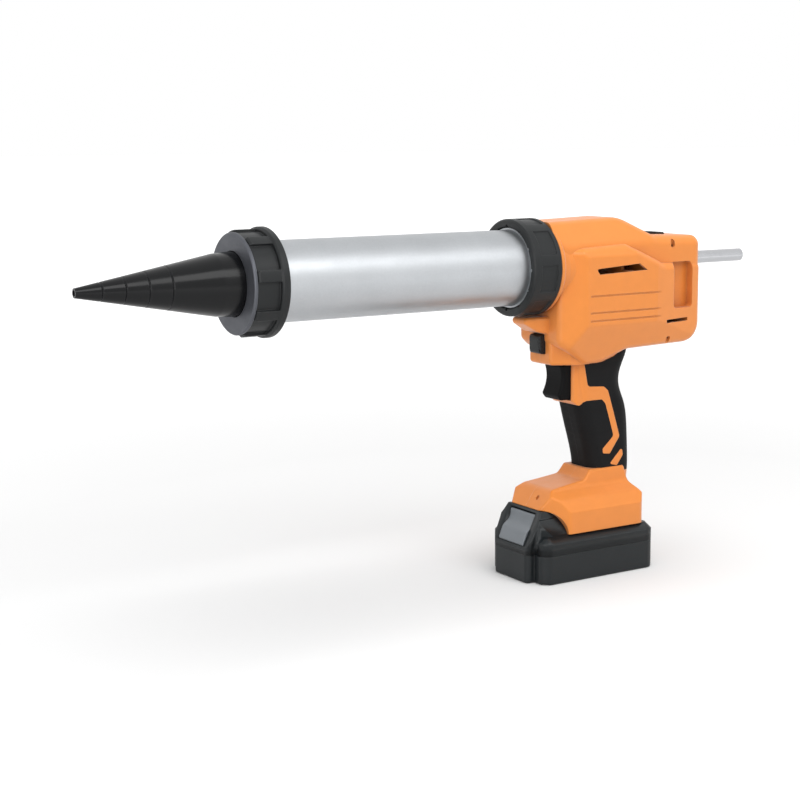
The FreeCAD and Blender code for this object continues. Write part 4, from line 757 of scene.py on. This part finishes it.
@dataclass
class Plunger(SubAssembly):
    """Rack rod with its piston."""

    name: str = "plunger"
    pieces: tuple[Piece, ...] = (
        Piece("rack_rod", STEEL), Piece("piston", INNER), Piece("piston_seal", SEAL),
        Piece("piston_screw", SCREW))


@dataclass
class Housing(SubAssembly):
    """Two shell halves, their rubber grips, screws and controls."""

    name: str = "housing"
    pieces: tuple[Piece, ...] = (
        Piece("housing_left", ORANGE), Piece("housing_right", ORANGE),
        Piece("grip_left", RUBBER), Piece("grip_right", RUBBER),
        Piece("housing_screws", SCREW), Piece("trigger", SHADED_TRIGGER),
        Piece("lock_button", BLACK, EdgeForm.MOULDED),
        Piece("release_button", BLACK, EdgeForm.CRISP),
        Piece("switch_plunger", INNER), Piece("switch_box", INNER),
        Spring("trigger_spring", STEEL, joint="trigger_pull"),
        Spring("lock_spring", STEEL, joint="lock_press"),
        Spring("release_spring", STEEL, joint="release_press"))


@dataclass
class Drive(SubAssembly):
    """Motor, planetary stage, crown gear and rack pinion."""

    name: str = "drive"
    pieces: tuple[Piece, ...] = (
        Piece("gear_case", CAST), Piece("gear_cover", CAST), Piece("shaft_bushes", BRONZE),
        Piece("rod_bush_front", BRONZE), Piece("rod_bush_rear", BRONZE),
        Piece("ring_gear", GEAR), Piece("motor_can", MOTOR), Piece("motor_magnets", MAGNET),
        Piece("rod_brake", GEAR), Piece("pinion_shaft", GEAR), Piece("rack_pinion", GEAR),
        Piece("final_gear", GEAR), Piece("lay_shaft", GEAR), Piece("lay_pinion", GEAR),
        Piece("crown_gear", GEAR), Piece("planet_carrier", GEAR), Piece("bevel_pinion", GEAR),
        Piece("planet_gear_1", GEAR), Piece("planet_gear_2", GEAR),
        Piece("planet_gear_3", GEAR), Piece("rotor", MOTOR), Piece("sun_gear", GEAR),
        Piece("cooling_fan", INNER), Piece("terminal_block", INNER),
        Piece("contact_blades", BRONZE), Piece("control_board", BOARD))


@dataclass
class Battery(SubAssembly):
    """Slide-on battery pack with its latch."""

    name: str = "battery"
    pieces: tuple[Piece, ...] = (
        Piece("battery_case", PACK, EdgeForm.MOULDED),
        Piece("battery_cover", PACK, EdgeForm.MOULDED, DECK_ROUND),
        Piece("battery_latch", LATCH), Piece("battery_cells", WRAP),
        Piece("cell_holder", INNER), Piece("battery_board", BOARD),
        Piece("battery_screws", SCREW), Spring("latch_spring", STEEL, joint="latch_press"))


@dataclass(frozen=True)
class Lamp:
    """A soft box: where it hangs, its size in metres and its power in watts."""

    name: str
    place: tuple[float, float, float]
    width: float
    depth: float
    power: float

    def hang(self, aim: Vector) -> None:
        """Makes the lamp and points it at the aim.

        Args:
            aim: The point that it faces.
        """
        data = bpy.data.lights.new(self.name, "AREA")
        data.shape = "RECTANGLE"
        data.size = self.width
        data.size_y = self.depth
        data.energy = self.power
        lamp = bpy.data.objects.new(self.name, data)
        bpy.context.scene.collection.objects.link(lamp)
        lamp.location = self.place
        lamp.rotation_euler = (aim - Vector(self.place)).to_track_quat("-Z", "Y").to_euler()


@dataclass
class Studio:
    """Pale floor, plain soft light and the camera at the photographed angle."""

    azimuth: float = 148.52
    elevation: float = 9.25
    roll: float = -0.47
    target: tuple[float, float, float] = (0.15713, 0.0, 0.14646)
    distance: float = 1.13856
    lens: float = 71.46
    floor_half: float = 40.0
    floor_white: float = 0.7
    floor_shade: float = 0.81
    near_glow: float = 0.05
    far_glow: float = 0.5
    near_reach: float = 0.5
    far_reach: float = 2.2
    sky: float = 0.26
    ceiling: float = 2.0
    ceiling_spread: float = 52.0
    ceiling_fall: tuple[float, float, float] = (0.05, -0.05, -1.0)
    aim: tuple[float, float, float] = (0.1, 0.0, 0.15)
    lamps: tuple[Lamp, ...] = (
        Lamp("key_box", (0.1, 1.85, 2.05), 3.0, 1.2, 31.0),
        Lamp("fill_box", (-1.8, 3.2, 1.6), 2.0, 2.0, 4.0),
        Lamp("nose_box", (2.8, 1.7, 0.75), 2.0, 1.4, 30.0))

    def camera(self) -> None:
        """Places the camera."""
        azimuth, elevation, roll = (math.radians(angle) for angle in
                                    (self.azimuth, self.elevation, self.roll))
        back = Vector((math.sin(azimuth) * math.cos(elevation),
                       -math.cos(azimuth) * math.cos(elevation), math.sin(elevation)))
        right = Vector((math.cos(azimuth), math.sin(azimuth), 0.0))
        up = back.cross(right)
        across = right * math.cos(roll) + up * math.sin(roll)
        above = up * math.cos(roll) - right * math.sin(roll)
        data = bpy.data.cameras.new("photo_camera")
        data.sensor_width = SENSOR_WIDTH
        data.lens = self.lens
        data.clip_start = 0.01
        data.clip_end = 100.0
        camera = bpy.data.objects.new("photo_camera", data)
        bpy.context.scene.collection.objects.link(camera)
        axes = Matrix((across, above, back)).transposed()
        camera.matrix_world = Matrix.Translation(Vector(self.target)
                                                 + back * self.distance) @ axes.to_4x4()
        bpy.context.scene.camera = camera

    @staticmethod
    def seen(bench: Bench) -> bpy.types.NodeSocket:
        """Tells the rays that reach the eye from those that only light the tool.

        Args:
            bench: The bench of the material or the world.

        Returns:
            A socket that is 1 where the camera sees, mirrors or looks through to.
        """
        path = bench.add("ShaderNodeLightPath")
        rays = bench.sum("MAXIMUM", path.outputs["Is Camera Ray"], path.outputs["Is Glossy Ray"])
        return bench.sum("MAXIMUM", rays, path.outputs["Is Transmission Ray"])

    def floor(self) -> None:
        """Lays the floor: a pale sheet that keeps the tool's shadow."""
        bm = bmesh.new()
        bmesh.ops.create_grid(bm, x_segments=1, y_segments=1, size=self.floor_half)
        mesh = bpy.data.meshes.new("floor")
        bm.to_mesh(mesh)
        bm.free()
        floor = bpy.data.objects.new("floor", mesh)
        bpy.context.scene.collection.objects.link(floor)
        paint = bpy.data.materials.new("floor_paint")
        paint.use_nodes = True
        paint.node_tree.nodes.clear()
        bench = Bench(paint.node_tree)
        matt = bench.add("ShaderNodeBsdfDiffuse", {"Color": (*[self.floor_white] * 3, 1.0)})
        pale = bench.add("ShaderNodeBsdfDiffuse", {"Color": (*[self.floor_shade] * 3, 1.0)})
        spot = bench.add("ShaderNodeTexCoord").outputs["Object"]
        away = bench.add("ShaderNodeVectorMath", {0: spot}, operation="LENGTH").outputs["Value"]
        glow = bench.add("ShaderNodeEmission", {
            "Strength": bench.span(away, self.near_reach, self.far_reach, self.near_glow,
                                   self.far_glow)})
        lifted = bench.add("ShaderNodeAddShader", {0: pale.outputs[0], 1: glow.outputs[0]})
        both = bench.add("ShaderNodeMixShader", {0: self.seen(bench), 1: matt.outputs[0],
                                                 2: lifted.outputs[0]})
        bench.add("ShaderNodeOutputMaterial", {"Surface": both.outputs[0]})
        mesh.materials.append(paint)

    def light(self) -> None:
        """Hangs the soft boxes and sets the pale sky."""
        world = bpy.data.worlds.new("studio_sky")
        world.use_nodes = True
        world.node_tree.nodes.clear()
        bench = Bench(world.node_tree)
        dim = bench.add("ShaderNodeBackground", {"Color": WHITE, "Strength": self.sky})
        white = bench.add("ShaderNodeBackground", {"Color": WHITE, "Strength": 1.0})
        both = bench.add("ShaderNodeMixShader", {0: self.seen(bench), 1: dim.outputs[0],
                                                 2: white.outputs[0]})
        bench.add("ShaderNodeOutputWorld", {"Surface": both.outputs[0]})
        bpy.context.scene.world = world
        for lamp in self.lamps:
            lamp.hang(Vector(self.aim))
        sun = bpy.data.lights.new("ceiling", "SUN")
        sun.energy = self.ceiling
        sun.angle = math.radians(self.ceiling_spread)
        ceiling = bpy.data.objects.new("ceiling", sun)
        bpy.context.scene.collection.objects.link(ceiling)
        ceiling.rotation_euler = Vector(self.ceiling_fall).to_track_quat("-Z", "Y").to_euler()
        ceiling.visible_glossy = False

    def build(self) -> None:
        """Sets the camera, the floor, the light and the plain view transform."""
        self.camera()
        self.floor()
        self.light()
        bpy.context.scene.view_settings.view_transform = "Standard"


def main() -> None:
    """Builds the studio and the tool."""
    logging.basicConfig(level=logging.INFO, format="%(message)s")
    Studio().build()
    for unit in (Barrel(), Plunger(), Housing(), Drive(), Battery()):
        unit.build()
    bpy.context.view_layer.update()


if __name__ == "__main__":
    main()
